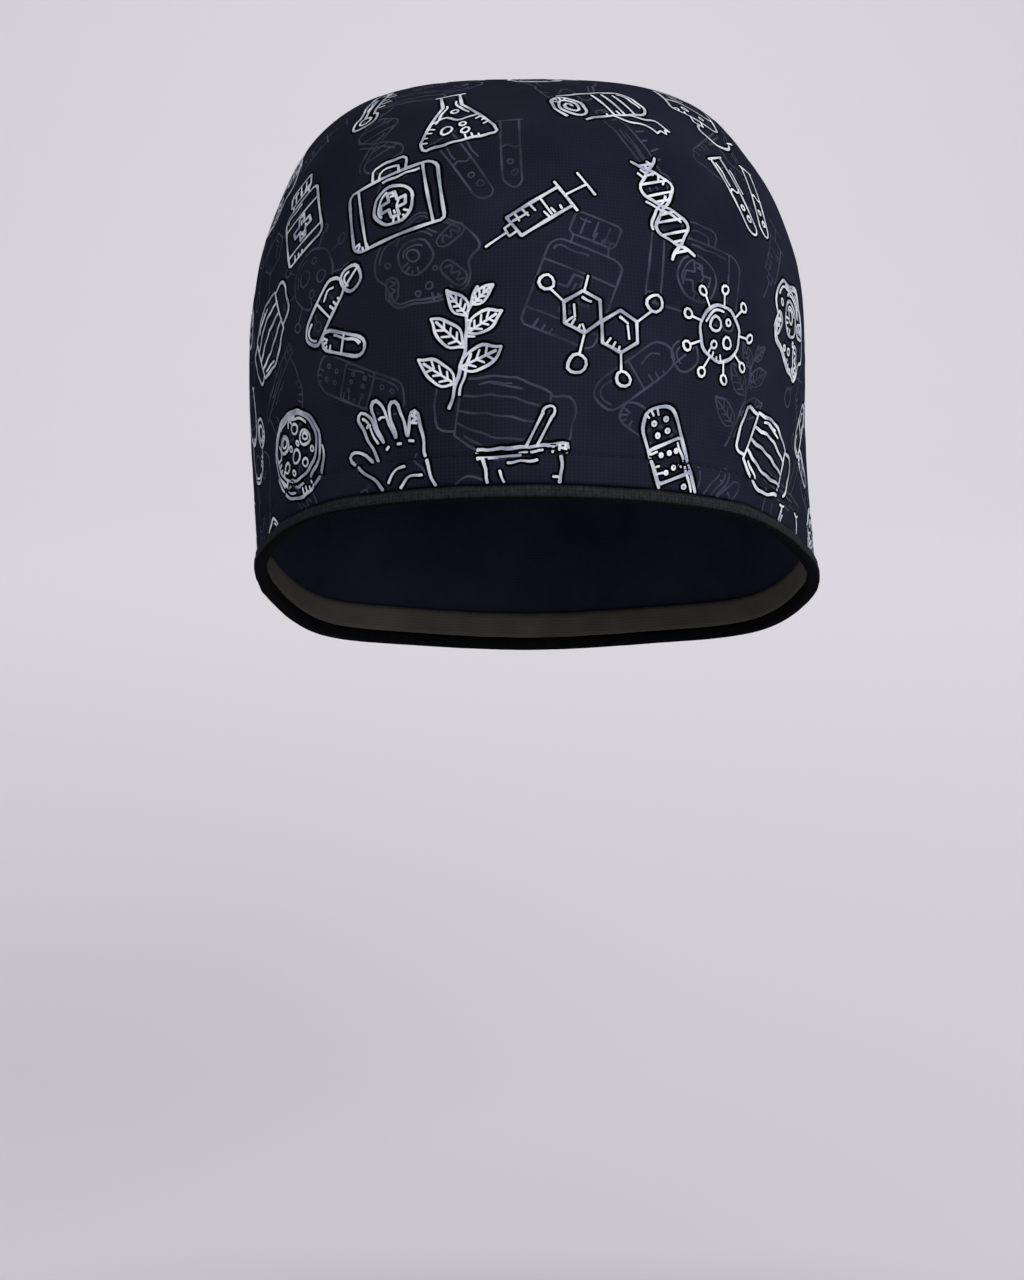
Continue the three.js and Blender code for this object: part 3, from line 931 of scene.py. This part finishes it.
def cell():
    angle = np.linspace(0, 2 * math.pi, 61)
    wall = 7.4 + 0.5 * np.sin(5 * angle) + 0.35 * np.sin(8 * angle + 1)
    skin = np.stack([1.15 * wall * np.cos(angle), wall * np.sin(angle)], axis=-1)
    folded = curve((-1.6, 0.2), (-0.9, 1.2), (-0.2, 0), (0.5, 1.2), (1.2, 0), (1.8, 1))
    bean = [rounded(0, 0.5, 2.5, 1.25, 1.2), folded]
    return ([skin, 0.92 * skin[6:24], 0.92 * skin[36:50], ring(-1.4, 0.8, 3), ring(-1.8, 1.2, 1.1)]
            + turned(bean, 35, 5, 2.8) + turned(bean, -50, 4.2, -3.6)
            + turned(bean, 80, -5.6, -3.6, 0.85)
            + [curve((-4.6, 3.6), (-3, 5.4), (0, 5.6), (2.4, 4.2)),
               curve((-3.6, 4.2), (-2, 5), (0, 4.8), (1.6, 3.8)), ring(0.4, -4.6, 0.6),
               ring(-1.6, -5.2, 0.45), ring(1.8, -1.8, 0.4), ring(-6.4, 0.6, 0.5)])


def petri_dish():
    return [
        ring(0, 0.8, 8.8, 6.4), ring(0, 1.2, 7.9, 5.6), ring(0, -1.2, 8.8, 6.4, 184, 356),
        ring(-3.4, 2.8, 1.9, 1.4), ring(-3.2, 3, 1.1, 0.8), ring(1.6, 4, 1.2, 0.9),
        ring(4.4, 1.4, 1.7, 1.3), ring(4.6, 1.5, 0.8, 0.6), ring(0.2, -0.6, 1.4, 1.1),
        ring(-4, -1.2, 1.1, 0.8), ring(2.6, -2.4, 0.9, 0.7), ring(-1.2, 1.4, 0.5),
        ring(1.6, 1.4, 0.45), ring(-2, -2.8, 0.5), ring(5.8, -1, 0.45),
        curve((-6.2, 1), (-5.4, 2.2), (-6, 3.4)), curve((-0.6, 5), (0.2, 5.8), (1, 5.2)),
    ]


DRAWINGS = [stethoscope, cell, microscope, herb_sprig, flask, plaster, helix, petri_dish,
            bottle, tooth, molecule, bandage_roll, mask, tubes, glove, first_aid_case,
            scissors, germ, drip_bag, capsules, thermometer, mortar, syringe]
print(len(DRAWINGS), "drawings")

# %% [markdown]
# The designer's hand is not quite steady, and goes over the long outlines once
# more: a short second line runs inside a part of them, and a few ticks shade
# another part. These finer strokes are the brightest of the print.

# %% Shading by hand
SHADE_PITCH = 0.6


# A part of a stroke, moved aside towards the middle of the drawing.
def along(stroke, low, high, away):
    stroke = even_points(stroke, SHADE_PITCH)
    way = np.gradient(stroke, axis=0)
    way = way / np.maximum(np.linalg.norm(way, axis=1, keepdims=True), 1e-9)
    aside = np.stack([-way[:, 1], way[:, 0]], axis=-1)
    inward = np.sign((-stroke * aside).sum() + 1e-9)
    first, last = int(low * (len(stroke) - 1)), int(high * (len(stroke) - 1))
    return (stroke + aside * inward * away)[first:last + 1], (aside * inward)[first:last + 1]


# A stroke as long as SECOND_FROM gets a second line, and one as long as
# TICKS_FROM gets ticks too. The shares are parts of the stroke's length.
SECOND_FROM, SECOND_LONG, SECOND_ASIDE = 13, 7, 0.9
SECOND_SHARE, SECOND_BEND = 0.34, 30
FIRST_START, START_SPREAD = 0.06, 0.31
TICKS_FROM, TICKS_LONG = 17, 4
TICKS_AFTER, TICKS_LATEST = 0.42, 0.9
TICK_GAP, TICK, TICK_CHANGE = 0.2, 0.9, 0.3
UNSTEADY = 0.13


# Sines of the drawing's own number stand in for chance, so each drawing
# differs from the next and is the same in every run.
def shaded(drawing, number):
    made = list(drawing)
    for i, stroke in enumerate(drawing):
        run = length_of(stroke)
        if run < SECOND_FROM:
            continue
        start = FIRST_START + START_SPREAD * (math.sin(number * 1.9 + i * 2.7) ** 2)
        end = start + min(SECOND_SHARE, SECOND_LONG / run)
        second, _ = along(stroke, start, end, SECOND_ASIDE)
        made += without_corners(second, SECOND_BEND)[:1]
        if run > TICKS_FROM:
            low = start + TICKS_AFTER
            high = min(low + TICKS_LONG / run, 1)
            rest, aside = along(stroke, min(low, TICKS_LATEST), high, TICK_GAP)
            for k in range(1, len(rest), 2):
                tick = TICK + TICK_CHANGE * math.sin(k)
                made.append(np.stack([rest[k], rest[k] + aside[k] * tick]))
    return [stroke + UNSTEADY * np.sin(stroke[:, ::-1] * 1.7 + number)
            for stroke in made if len(stroke) > 1]


print("shading adds", len(shaded(tooth(), 1)) - len(tooth()), "strokes to a tooth")

# %% [markdown]
# A drawing is laid on the cap as on a small tangent sheet: its middle is put
# in place, and each of its points slides on the surface until it lies over its
# place on that sheet. So a drawing keeps its size on the flat parts and bends
# with the cloth over the shoulders.

# %% From a flat drawing to the cloth
# The cloth is spread flat round the top of the cap: "across" and "up" are
# millimetres on that flat sheet, and the distance from its middle is the way
# down the cap.
def at_level(across, up):
    level = np.hypot(across, up)
    turn = np.degrees(np.arctan2(across, up))
    room = BROW_HEIGHT - rim_height(turn)
    step = np.where(level < DOME_LENGTH, 2 - level / DOME_LENGTH,
                    1 - (level - DOME_LENGTH) / room)
    return turn, step


def level_of(turn, step):
    room = BROW_HEIGHT - rim_height(turn)
    level = np.where(step > 1, (2 - step) * DOME_LENGTH, DOME_LENGTH + (1 - step) * room)
    return level * np.sin(np.radians(turn)), level * np.cos(np.radians(turn))


# Each point is moved over the flat sheet until the miss is gone, as Newton's
# way of finding a root does it. Points that can't be reached are marked.
ROUNDS = 9
NUDGE = 0.05
LEAST_AREA = 0.02
LONGEST_MOVE = 14
MISS_ALLOWED = 0.4


def laid_on(points, turn, step):
    turn, step = np.array(float(turn)), np.array(float(step))
    middle, out = surface(turn, step), outward(turn, step)
    wish = np.array([0, math.cos(math.radians(float(turn))), 1.0])
    up = wish - out * wish.dot(out)
    up = up / np.linalg.norm(up)
    right = np.cross(up, out)
    a, b = (np.full(len(points), float(value)) for value in level_of(turn, step))

    def offset(a, b):
        away = surface(*at_level(a, b)) - middle
        return np.stack([away @ right, away @ up], axis=-1)

    for _ in range(ROUNDS):
        miss = points - offset(a, b)
        by_a = (offset(a + NUDGE, b) - offset(a - NUDGE, b)) / (2 * NUDGE)
        by_b = (offset(a, b + NUDGE) - offset(a, b - NUDGE)) / (2 * NUDGE)
        area = by_a[:, 0] * by_b[:, 1] - by_a[:, 1] * by_b[:, 0]
        area = np.where(np.abs(area) < LEAST_AREA, LEAST_AREA, area)
        move_a = (miss[:, 0] * by_b[:, 1] - miss[:, 1] * by_b[:, 0]) / area
        move_b = (by_a[:, 0] * miss[:, 1] - by_a[:, 1] * miss[:, 0]) / area
        size = np.maximum(1, np.hypot(move_a, move_b) / LONGEST_MOVE)
        a, b = a + move_a / size, b + move_b / size
    good = np.linalg.norm(points - offset(a, b), axis=1) < MISS_ALLOWED
    turn, step = at_level(a, b)
    return turn, step, good


# %% [markdown]
# The cloth was printed before it was cut and sewn. So a stroke ends at the
# folded strip and at the seam, and it is broken where the hem is stitched,
# because a little cloth is taken up there. Simply leaving out the points near
# a cut would make ragged gaps, so points are added just at its edges.

# %% Where the strokes are cut
HEM_CUT = 0.5
RIM_CUT = BINDING_HEIGHT + 0.6
SEAM_CUT = 0.7
JUST_UNDER = 0.01
ON_DOME = 99.0


def hem_height(turn, step):
    above = surface(turn, step)[:, 2] - rim_height(turn)
    return np.where(step > 1, ON_DOME, above)


# A point is added wherever a stroke passes an edge of one of the cuts, so that
# the cut is clean and as narrow as the row of stitches.
def cut_across(turn, step, good, ends):
    above = hem_height(turn, step)
    on_wall = above < ON_DOME
    extra = []
    for level in (RIM_CUT, STITCH_HEIGHT - HEM_CUT, STITCH_HEIGHT + HEM_CUT):
        passes = (above[:-1] - level) * (above[1:] - level) < 0
        passes[ends[:-1] - 1] = False
        for i in np.flatnonzero(passes & on_wall[:-1] & on_wall[1:]):
            extra.append((i + (level - above[i]) / (above[i + 1] - above[i]), i))
    places = np.concatenate([np.arange(len(turn)), [at for at, _ in extra]])
    order = np.argsort(places, kind="stable")
    before = np.array([i for _, i in extra], int)
    share = np.array([at - i for at, i in extra])
    new_turn = turn[before] + share * turn_between(turn[before + 1], turn[before])
    new_step = step[before] + share * (step[before + 1] - step[before])
    new_good = good[before] & good[before + 1]
    moved = np.array([end + sum(1 for _, i in extra if i < end) for end in ends])
    return (np.concatenate([turn, new_turn])[order], np.concatenate([step, new_step])[order],
            np.concatenate([good, new_good])[order], moved)


# %% [markdown]
# Ink has no thickness to speak of. It could be a picture laid over the cloth,
# but a thin raised line keeps its edges sharp at any distance. Each stroke
# becomes a flat strip that lies a tenth of a millimetre or less above the
# cloth and has its underside sunk into it. Short strokes are a little finer.

# %% From strokes to ink
UNDERSIDE = -0.12
BOLD_FROM, FINE_TO = 22, 6


def lay_strokes(drawing, turn, step, panel_side, inks, number):
    parts, longest = [], []
    for stroke in drawing:
        run = length_of(stroke)
        for part in without_corners(stroke):
            parts.append(even_points(part, inks[0]["pitch"]))
            longest.append(run)
    ends = np.cumsum([len(part) for part in parts])
    at_turn, at_step, good = laid_on(np.vstack(parts), turn, step)
    at_turn, at_step, good, ends = cut_across(at_turn, at_step, good, ends)
    place = surface(at_turn, at_step)
    above = hem_height(at_turn, at_step)
    from_seam = (place[:, 1] - CROWN_AXIS_Y) * panel_side
    shown = good & (from_seam > SEAM_CUT) & (above > RIM_CUT - JUST_UNDER)
    shown &= np.abs(above - STITCH_HEIGHT) > HEM_CUT - JUST_UNDER
    under = cloth_point(at_turn, at_step, UNDERSIDE, panel_side)
    out = outward(at_turn, at_step)
    over = above > STITCH_HEIGHT
    for ink in inks:
        top = cloth_point(at_turn, at_step, ink["lift"], panel_side)
        for first, end, run in zip(np.concatenate([[0], ends[:-1]]), ends, longest):
            fine = float(np.clip((BOLD_FROM - run) / (BOLD_FROM - FINE_TO), 0, 1))
            wide = ink["wide"] + fine * (ink["fine"] - ink["wide"])
            breaks = [i for i in range(first, end)
                      if not shown[i] or (i > first and over[i] != over[i - 1])]
            breaks = [first] + breaks + [end]
            for a, b in zip(breaks, breaks[1:]):
                a = a if shown[min(a, end - 1)] else a + 1
                if b - a > 1:
                    add_strip(top[a:b], under[a:b], out[a:b], ink, wide, number, fine)


# %% One strip of ink
SHORTEST = 0.5
NEAREST = 0.1
TIP_LONG = 0.34
TIP_WIDE = 0.55
WAVER = 0.14


# Across, a strip is a flat triangle: two corners on top and one below, in the
# cloth. It waxes and wanes a little in width, and both its tips are narrower.
def add_strip(top, under, out, ink, wide, number, fine):
    moves = np.linalg.norm(np.diff(top, axis=0), axis=1)
    if moves.sum() < SHORTEST:
        return
    kept = np.concatenate([[True], moves > NEAREST])
    top, under, out = top[kept], under[kept], out[kept]
    way = np.gradient(top, axis=0)
    way = way / np.maximum(np.linalg.norm(way, axis=1, keepdims=True), 1e-9)
    side = np.cross(way, out)
    side = side / np.maximum(np.linalg.norm(side, axis=1, keepdims=True), 1e-9)
    half = wide / 2 * (1 + WAVER * np.sin(np.arange(len(top)) * 0.7 + number))
    first_tip, last_tip = -way[0] * wide * TIP_LONG, way[-1] * wide * TIP_LONG
    top = np.vstack([top[0] + first_tip, top, top[-1] + last_tip])
    under = np.vstack([under[0] + 0.5 * first_tip, under, under[-1] + 0.5 * last_tip])
    side = np.vstack([side[:1], side, side[-1:]])
    half = np.concatenate([[half[0] * TIP_WIDE], half, [half[-1] * TIP_WIDE]])[:, None]
    corners = np.stack([top - side * half, top + side * half, under], axis=1)
    ink["points"].append(corners.reshape(-1, 3))
    base, count = ink["count"], len(top)
    ink["count"] += 3 * count
    ink["fresh"].append(np.full(3 * count, fine))
    for i in range(count - 1):
        a, b = base + 3 * i, base + 3 * (i + 1)
        ink["faces"] += [(a, a + 1, b + 1, b), (a + 1, a + 2, b + 2, b + 1),
                         (a + 2, a, b, b + 2)]
    last = base + 3 * (count - 1)
    ink["faces"] += [(base, base + 2, base + 1), (last, last + 1, last + 2)]


# %% [markdown]
# The drawings stand in staggered rows, each a little turned and moved, at
# just under 40 mm from one to the next. The front and the back panel are
# printed apart, so the drawings don't meet at the seam. The faint grey ones
# stand between the white ones, as a second layer of the print, and a narrow
# dark band of painted shade along each white line keeps it clear of them.

# %% The rows of the print
PRINT_PITCH = 38.5
ROW_PITCH = 34.0
BELOW_RIM = -9
PAST_SEAM = -0.12
QUARTER_DEGREES = np.linspace(0, 360, 1441)


# One row: places at even distances along a level line of the cap, counted both
# ways from the middle of the panel. A place a little below the rim or past the
# seam is kept, because part of its drawing still falls on the cloth.
def row_places(level_down, shift, panel_side):
    turns = QUARTER_DEGREES + (0 if panel_side > 0 else -180)
    room = BROW_HEIGHT - rim_height(turns)
    step = np.where(level_down < DOME_LENGTH, 2 - level_down / DOME_LENGTH,
                    1 - (level_down - DOME_LENGTH) / room)
    line_points = surface(turns, np.maximum(step, 0))
    run = np.concatenate([[0], np.cumsum(np.linalg.norm(np.diff(line_points, axis=0), axis=1))])
    middle = run[len(run) // 2]
    places = []
    count = int(run[-1] / PRINT_PITCH) + 2
    for k in range(-count, count + 1):
        at = middle + (k + shift) * PRINT_PITCH
        if at < 0 or at > run[-1]:
            continue
        turn = float(np.interp(at, run, turns))
        here = float(np.interp(at, run, step))
        if here * float(np.interp(at, run, room)) < BELOW_RIM:
            continue
        if math.cos(math.radians(turn)) * -panel_side < PAST_SEAM:
            continue
        places.append((turn, here, k))
    return places


# %% [markdown]
# Three layers are laid: white ink, a wider dark band of painted shade right
# under the white, and grey ink. All strips of one layer are gathered and made
# one piece, and each corner keeps a value, "fresh_ink", that says how fine its
# stroke is. The finish reads that value later.

# %% The inks and their layers
def ink_of(wide, fine, lift, pitch=1.25):
    return {"wide": wide, "fine": fine, "lift": lift, "pitch": pitch,
            "points": [], "faces": [], "fresh": [], "count": 0}


NEXT_ALONG, NEXT_ROW, BACK_FIRST = 7, 11, 5
MOST_TILT = 17
MOST_NUDGE_UP = 0.020
MOST_NUDGE_ROUND = 1.2
SIZE_CHANGE = 0.09


# Whole numbers pick the drawing, and sines of the row and of the place in it
# turn, nudge and size it, so that no two neighbours are alike.
def print_layer(inks, down_first, shift, pick, size):
    laid = 0
    for panel_side in (-1, 1):
        row = 0
        level_down = down_first
        while level_down < DOME_LENGTH + BROW_HEIGHT + RIM_DROP:
            for turn, step, k in row_places(level_down, 0.5 * (row % 2) + shift, panel_side):
                number = k * NEXT_ALONG + row * NEXT_ROW + pick
                number = (number + (BACK_FIRST if panel_side > 0 else 0)) % len(DRAWINGS)
                wave = math.sin(k * 2.1 + row * 1.3 + panel_side)
                tilt = MOST_TILT * math.sin(k * 1.7 + row * 2.3 + shift)
                drawing = shaded(DRAWINGS[number](), number)
                drawing = turned(drawing, tilt, size=size * (1 + SIZE_CHANGE * wave))
                nudged_step = step + MOST_NUDGE_UP * math.sin(k * 3.7 + row * 2.9)
                nudged_turn = turn + MOST_NUDGE_ROUND * wave
                lay_strokes(drawing, nudged_turn, nudged_step, panel_side, inks, number)
                laid += 1
            row += 1
            level_down += ROW_PITCH
    return laid


def printed(name, ink):
    mesh = bpy.data.meshes.new(name)
    mesh.from_pydata((np.concatenate(ink["points"]) * MM).tolist(), [], ink["faces"])
    fresh = mesh.attributes.new("fresh_ink", "FLOAT", "POINT")
    fresh.data.foreach_set("value", np.concatenate(ink["fresh"]).astype(np.float32))
    piece = bpy.data.objects.new(name, mesh)
    bpy.context.scene.collection.objects.link(piece)
    print(name, "has", len(ink["faces"]) * 2, "triangles")
    return piece


# the width of a bold stroke and of a fine one, the height above the cloth
white = ink_of(wide=0.9, fine=0.64, lift=0.10)
# the wider dark edge is painted shade along both sides of each white line
edge = ink_of(wide=2.4, fine=2.05, lift=0.065)
grey = ink_of(wide=0.62, fine=0.52, lift=0.035, pitch=1.6)
white_laid = print_layer([white, edge], down_first=24.0, shift=0.0, pick=0, size=1.6)
grey_laid = print_layer([grey], down_first=41.0, shift=0.27, pick=9, size=1.75)
print(white_laid, "white drawings and", grey_laid, "grey ones")
print_white = printed("print_white", white)
print_edge = printed("print_edge", edge)
print_grey = printed("print_grey", grey)

# %% [markdown]
# A finish in Blender is a tree of nodes, which feed one another through links.
# All finishes of this cap are built with the same small helper: it adds a
# node, and for each of its inputs either sets a value or makes a link.

# %% Adding a node
# An input is either given a value or joined to the output that feeds it.
def add_node(tree, kind, inputs=None, **settings):
    node = tree.nodes.new("ShaderNode" + kind)
    for setting, value in settings.items():
        setattr(node, setting, value)
    set_inputs(tree, node, inputs or {})
    return node


def set_inputs(tree, node, inputs):
    for socket, value in inputs.items():
        if isinstance(value, bpy.types.NodeSocket):
            tree.links.new(value, node.inputs[socket])
        else:
            node.inputs[socket].default_value = value


def new_finish(name):
    finish = bpy.data.materials.new(name)
    finish.use_nodes = True
    return finish, finish.node_tree, finish.node_tree.nodes["Principled BSDF"]


# %% [markdown]
# The cotton is a plain weave, dyed a dark slate blue. Its look has four parts:
# threads crossing in two directions, a faint cloudiness that is partly the dye
# and partly painted sheen, a soft fuzz that lightens it where it is seen edge
# on, and a dull surface with no gloss. The threads follow the cloth's own map,
# in real millimetres. Where one layer of cloth stands against another, a
# narrow line along it lies in shadow.

# %% A woven finish
WARP_AND_WEFT = 0.45
FUZZ_COLOUR = (0.80, 0.82, 0.92, 1)
IN_SHADOW = 0.2


def shadow_line(tree, run, colour, low, high):
    apart = add_node(tree, "SeparateXYZ", {"Vector": run.outputs["UV"]})
    fade = add_node(tree, "MapRange", {
        "From Min": low * MM, "From Max": high * MM, "To Min": IN_SHADOW,
        "Value": apart.outputs["Y"]}, interpolation_type="SMOOTHSTEP")
    darker = add_node(tree, "VectorMath", {0: colour, "Scale": fade.outputs["Result"]},
                      operation="SCALE")
    return darker.outputs["Vector"]


# Two waves cross as warp and weft do. A wave of scale 1 has a band every
# 20 / (2 pi) units, and "thread" is the width of a thread in millimetres.
def crossing_threads(tree, run, thread):
    waves = []
    for direction in ("X", "Y"):
        waves.append(add_node(tree, "TexWave", {
            "Scale": 1000 / (thread * 20) * math.pi, "Distortion": 0.35, "Detail": 1.0,
            "Detail Scale": 0.6, "Vector": run.outputs["UV"]},
            bands_direction=direction, wave_profile="SIN"))
    weave = add_node(tree, "Math", {0: waves[0].outputs["Fac"], 1: waves[1].outputs["Fac"]},
                     operation="MAXIMUM")
    return weave.outputs[0]


def woven(name, dark, light, fuzz, thread=0.5, relief=0.35, cloud=24.0, shadows=()):
    finish, tree, shader = new_finish(name)
    run = add_node(tree, "UVMap", uv_map="cloth_run")
    place = add_node(tree, "TexCoord").outputs["Object"]
    weave = crossing_threads(tree, run, thread)
    slub = add_node(tree, "TexNoise", {"Scale": 900, "Detail": 3, "Vector": place})
    clouds = add_node(tree, "TexNoise", {"Scale": cloud, "Detail": 4, "Roughness": 0.6,
                                         "Vector": place})
    # broad lighter and darker patches: partly cloudiness of the dye, partly painted sheen
    dye_and_sheen_patches = add_node(tree, "MapRange", {"From Min": 0.34, "From Max": 0.66, "To Max": 0.6,
                                       "Value": clouds.outputs["Fac"]})
    blend = add_node(tree, "Math", {0: weave, 1: WARP_AND_WEFT, 2: dye_and_sheen_patches.outputs["Result"]},
                     operation="MULTIPLY_ADD")
    mixed = add_node(tree, "Mix", {"A": (*dark, 1), "B": (*light, 1),
                                   "Factor": blend.outputs[0]}, data_type="RGBA")
    colour = mixed.outputs["Result"]
    for low, high in shadows:
        colour = shadow_line(tree, run, colour, low, high)
    height = add_node(tree, "Math", {0: slub.outputs["Fac"], 1: 0.5, 2: weave},
                      operation="MULTIPLY_ADD")
    bump = add_node(tree, "Bump", {"Strength": relief, "Distance": 0.00012,
                                   "Height": height.outputs[0]})
    dull = add_node(tree, "MapRange", {"To Min": 0.78, "To Max": 0.95,
                                       "Value": slub.outputs["Fac"]})
    set_inputs(tree, shader, {
        "Base Color": colour, "Normal": bump.outputs["Normal"],
        "Roughness": dull.outputs["Result"], "Specular IOR Level": 0.0,
        "Sheen Weight": fuzz, "Sheen Roughness": 0.55, "Sheen Tint": FUZZ_COLOUR})
    return finish


# %% [markdown]
# Four finishes come from that one: the slate cotton of the panels, the paler
# wrong side of the strip inside, the nearly black tape round the rim, and the
# thread. Each has a darker and a lighter colour, which the weave mixes.

# %% The three cloths and the thread
slate_cotton = woven("slate_cotton", (0.0083, 0.0091, 0.0174), (0.0189, 0.0202, 0.0343),
                     fuzz=0.006, shadows=((3.9, 5.3),))
facing_cotton = woven("facing_cotton", (0.036, 0.034, 0.029), (0.075, 0.070, 0.060), fuzz=0.02)
binding_tape = woven("binding_tape", (0.0086, 0.0091, 0.0107), (0.0289, 0.0305, 0.0354),
                     fuzz=0.006, thread=0.45, relief=0.6, cloud=900.0,
                     shadows=((-0.1, 0.9), (3.5, 2.5)))
hem_thread = woven("hem_thread", (0.010, 0.011, 0.016), (0.022, 0.024, 0.032),
                   fuzz=0.05, thread=0.3)
print("woven finishes:", [finish.name for finish in bpy.data.materials][-4:])

# %% [markdown]
# The ink lets a little of the dark cloth through, so a white line is not one
# even white: it wavers between pale blue-grey and nearly white, and it takes
# the grain of the weave below it.

# %% Ink
def ink_finish(name, pale, bright, grain, lively=0.45, gloss=0.2):
    finish, tree, shader = new_finish(name)
    place = add_node(tree, "TexCoord").outputs["Object"]
    patches = add_node(tree, "TexNoise", {"Scale": 130, "Detail": 2, "Vector": place})
    spread = add_node(tree, "MapRange", {"From Min": 0.32, "From Max": 0.66,
                                         "Value": patches.outputs["Fac"]})
    fibres = add_node(tree, "TexNoise", {"Scale": 1600, "Detail": 2, "Vector": place})
    fresh = add_node(tree, "Attribute", attribute_name="fresh_ink")
    fuller = add_node(tree, "Math", {0: fresh.outputs["Fac"], 1: lively,
                                     2: spread.outputs["Result"]}, operation="MULTIPLY_ADD")
    thin = add_node(tree, "Math", {0: fibres.outputs["Fac"], 1: grain, 2: fuller.outputs[0]},
                    operation="MULTIPLY_ADD")
    mixed = add_node(tree, "Mix", {"A": (*pale, 1), "B": (*bright, 1),
                                   "Factor": thin.outputs[0]}, data_type="RGBA")
    bump = add_node(tree, "Bump", {"Strength": 0.25, "Distance": 0.0001,
                                   "Height": fibres.outputs["Fac"]})
    dull = add_node(tree, "MapRange", {"To Min": 0.65, "To Max": 0.88,
                                       "Value": fibres.outputs["Fac"]})
    set_inputs(tree, shader, {
        "Base Color": mixed.outputs["Result"], "Normal": bump.outputs["Normal"],
        "Roughness": dull.outputs["Result"], "Specular IOR Level": gloss})
    return finish


white_ink = ink_finish("white_ink", (0.30, 0.33, 0.42), (0.84, 0.87, 0.92), grain=-0.25)
# The dark edge is painted shade along both sides of each white line, made with the ink finish in a
# near-black colour.
print_edge_shade = ink_finish("print_edge_shade", (0.0008, 0.0009, 0.0015), (0.0018, 0.0019, 0.0030),
                      grain=-0.2, lively=0.0, gloss=0.01)
grey_ink = ink_finish("grey_ink", (0.026, 0.029, 0.044), (0.064, 0.070, 0.102),
                      grain=-0.2, lively=0.0, gloss=0.05)
print("inks:", [finish.name for finish in bpy.data.materials][-3:])

# %% [markdown]
# Each piece now gets its finish. One piece has one finish here, so a single
# material slot is enough, and no faces have to be picked out.

# %% Dress the pieces
for piece, finish in ((front_panel, slate_cotton), (back_panel, slate_cotton),
                      (hem_facing, facing_cotton), (rim_binding, binding_tape),
                      (hem_stitches, hem_thread), (print_white, white_ink), (print_edge, print_edge_shade),
                      (print_grey, grey_ink)):
    piece.data.materials.clear()
    piece.data.materials.append(finish)
    print(piece.name, "is dressed in", finish.name)

# %% [markdown]
# The cap stands alone before a plain pale lavender-grey sweep. A sweep is one
# sheet that is floor and wall in one, with a wide curve between them, so that
# no line shows behind the cap. Here a plane is extruded upwards at its back
# edge and the corner is bevelled round.

# %% Floor, background and light
# The floor lies this many millimetres below the rim. The other sizes of the
# sweep are in metres: it turns up behind the cap in one wide curve.
FLOOR = -262
SWEEP_WIDE = 6
SWEEP_BACK = 1.2
SWEEP_TALL = 4
SWEEP_CURVE = 2.2


def pale_sweep():
    nothing_selected()
    bpy.ops.mesh.primitive_plane_add(size=SWEEP_WIDE, location=(0, SWEEP_BACK, FLOOR * MM))
    sweep = bpy.context.object
    sweep.name = "studio_sweep"
    bpy.ops.object.mode_set(mode="EDIT")
    bpy.ops.mesh.select_all(action="DESELECT")
    bpy.ops.object.mode_set(mode="OBJECT")
    for edge in sweep.data.edges:
        ends = [sweep.data.vertices[v].co.y for v in edge.vertices]
        edge.select = min(ends) > SWEEP_WIDE / 2 - 0.1
    bpy.ops.object.mode_set(mode="EDIT")
    bpy.ops.mesh.extrude_region_move(TRANSFORM_OT_translate={"value": (0, 0, SWEEP_TALL)})
    bpy.ops.object.mode_set(mode="OBJECT")
    soften = sweep.modifiers.new("soften", "BEVEL")
    soften.width = SWEEP_CURVE
    soften.segments = 12
    soften.limit_method = "ANGLE"
    bpy.ops.object.modifier_apply(modifier=soften.name)
    bpy.ops.object.shade_smooth()
    paper = bpy.data.materials.new("pale_paper")
    paper.use_nodes = True
    shader = paper.node_tree.nodes["Principled BSDF"]
    shader.inputs["Base Color"].default_value = (0.715, 0.695, 0.728, 1)
    shader.inputs["Roughness"].default_value = 0.95
    sweep.data.materials.append(paper)


pale_sweep()
print("floor at", FLOOR, "mm")

# %% [markdown]
# Dark cloth shows its form by its lit edges. One large soft light stands above
# the cap on the right, a very faint one fills the left, and a third lights
# only the sweep. Small lamps would draw hard shadows that cloth in a bright
# room doesn't have.

# %% Lights
def soft_light(name, place, aim, size, power):
    light = bpy.data.lights.new(name, "AREA")
    light.shape = "RECTANGLE"
    light.size, light.size_y = size
    light.energy = power
    lamp = bpy.data.objects.new(name, light)
    bpy.context.scene.collection.objects.link(lamp)
    lamp.location = place
    way = np.array(aim) - np.array(place)
    tilt = math.atan2(math.hypot(way[0], way[1]), -way[2])
    lamp.rotation_euler = (tilt, 0, math.atan2(way[1], way[0]) - math.pi / 2)


# name, where it stands and what it is aimed at in metres, its size, its power
soft_light("key", (1.2, -1.5, 1.0), (0, 0, 0.03), (2.2, 1.8), 33.5)
soft_light("fill", (-1.4, -1.2, 0.5), (0, 0, 0.03), (1.2, 1.2), 0.5)
soft_light("sweep_wash", (0, 1.2, 2.4), (0, 3.2, 0.4), (3.0, 1.0), 51)

world = bpy.data.worlds.new("room")
bpy.context.scene.world = world
world.use_nodes = True
room = world.node_tree.nodes["Background"]
room.inputs["Color"].default_value = (0.80, 0.79, 0.85, 1)
room.inputs["Strength"].default_value = 0.48
bpy.context.scene.view_settings.view_transform = "Standard"
print("lit by", len(bpy.data.lights), "lamps and the room")

# %% [markdown]
# Last, each fine piece is tied to the body that it moves with, and the solids
# that the pieces stand for are hidden.

# %% Tie the pieces to their body and hide the solids
for piece in (front_panel, back_panel, hem_facing, rim_binding, hem_stitches,
              print_white, print_edge, print_grey):
    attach(piece, "root")
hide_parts("front_panel")
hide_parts("back_panel")
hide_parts("hem_facing")
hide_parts("rim_binding")
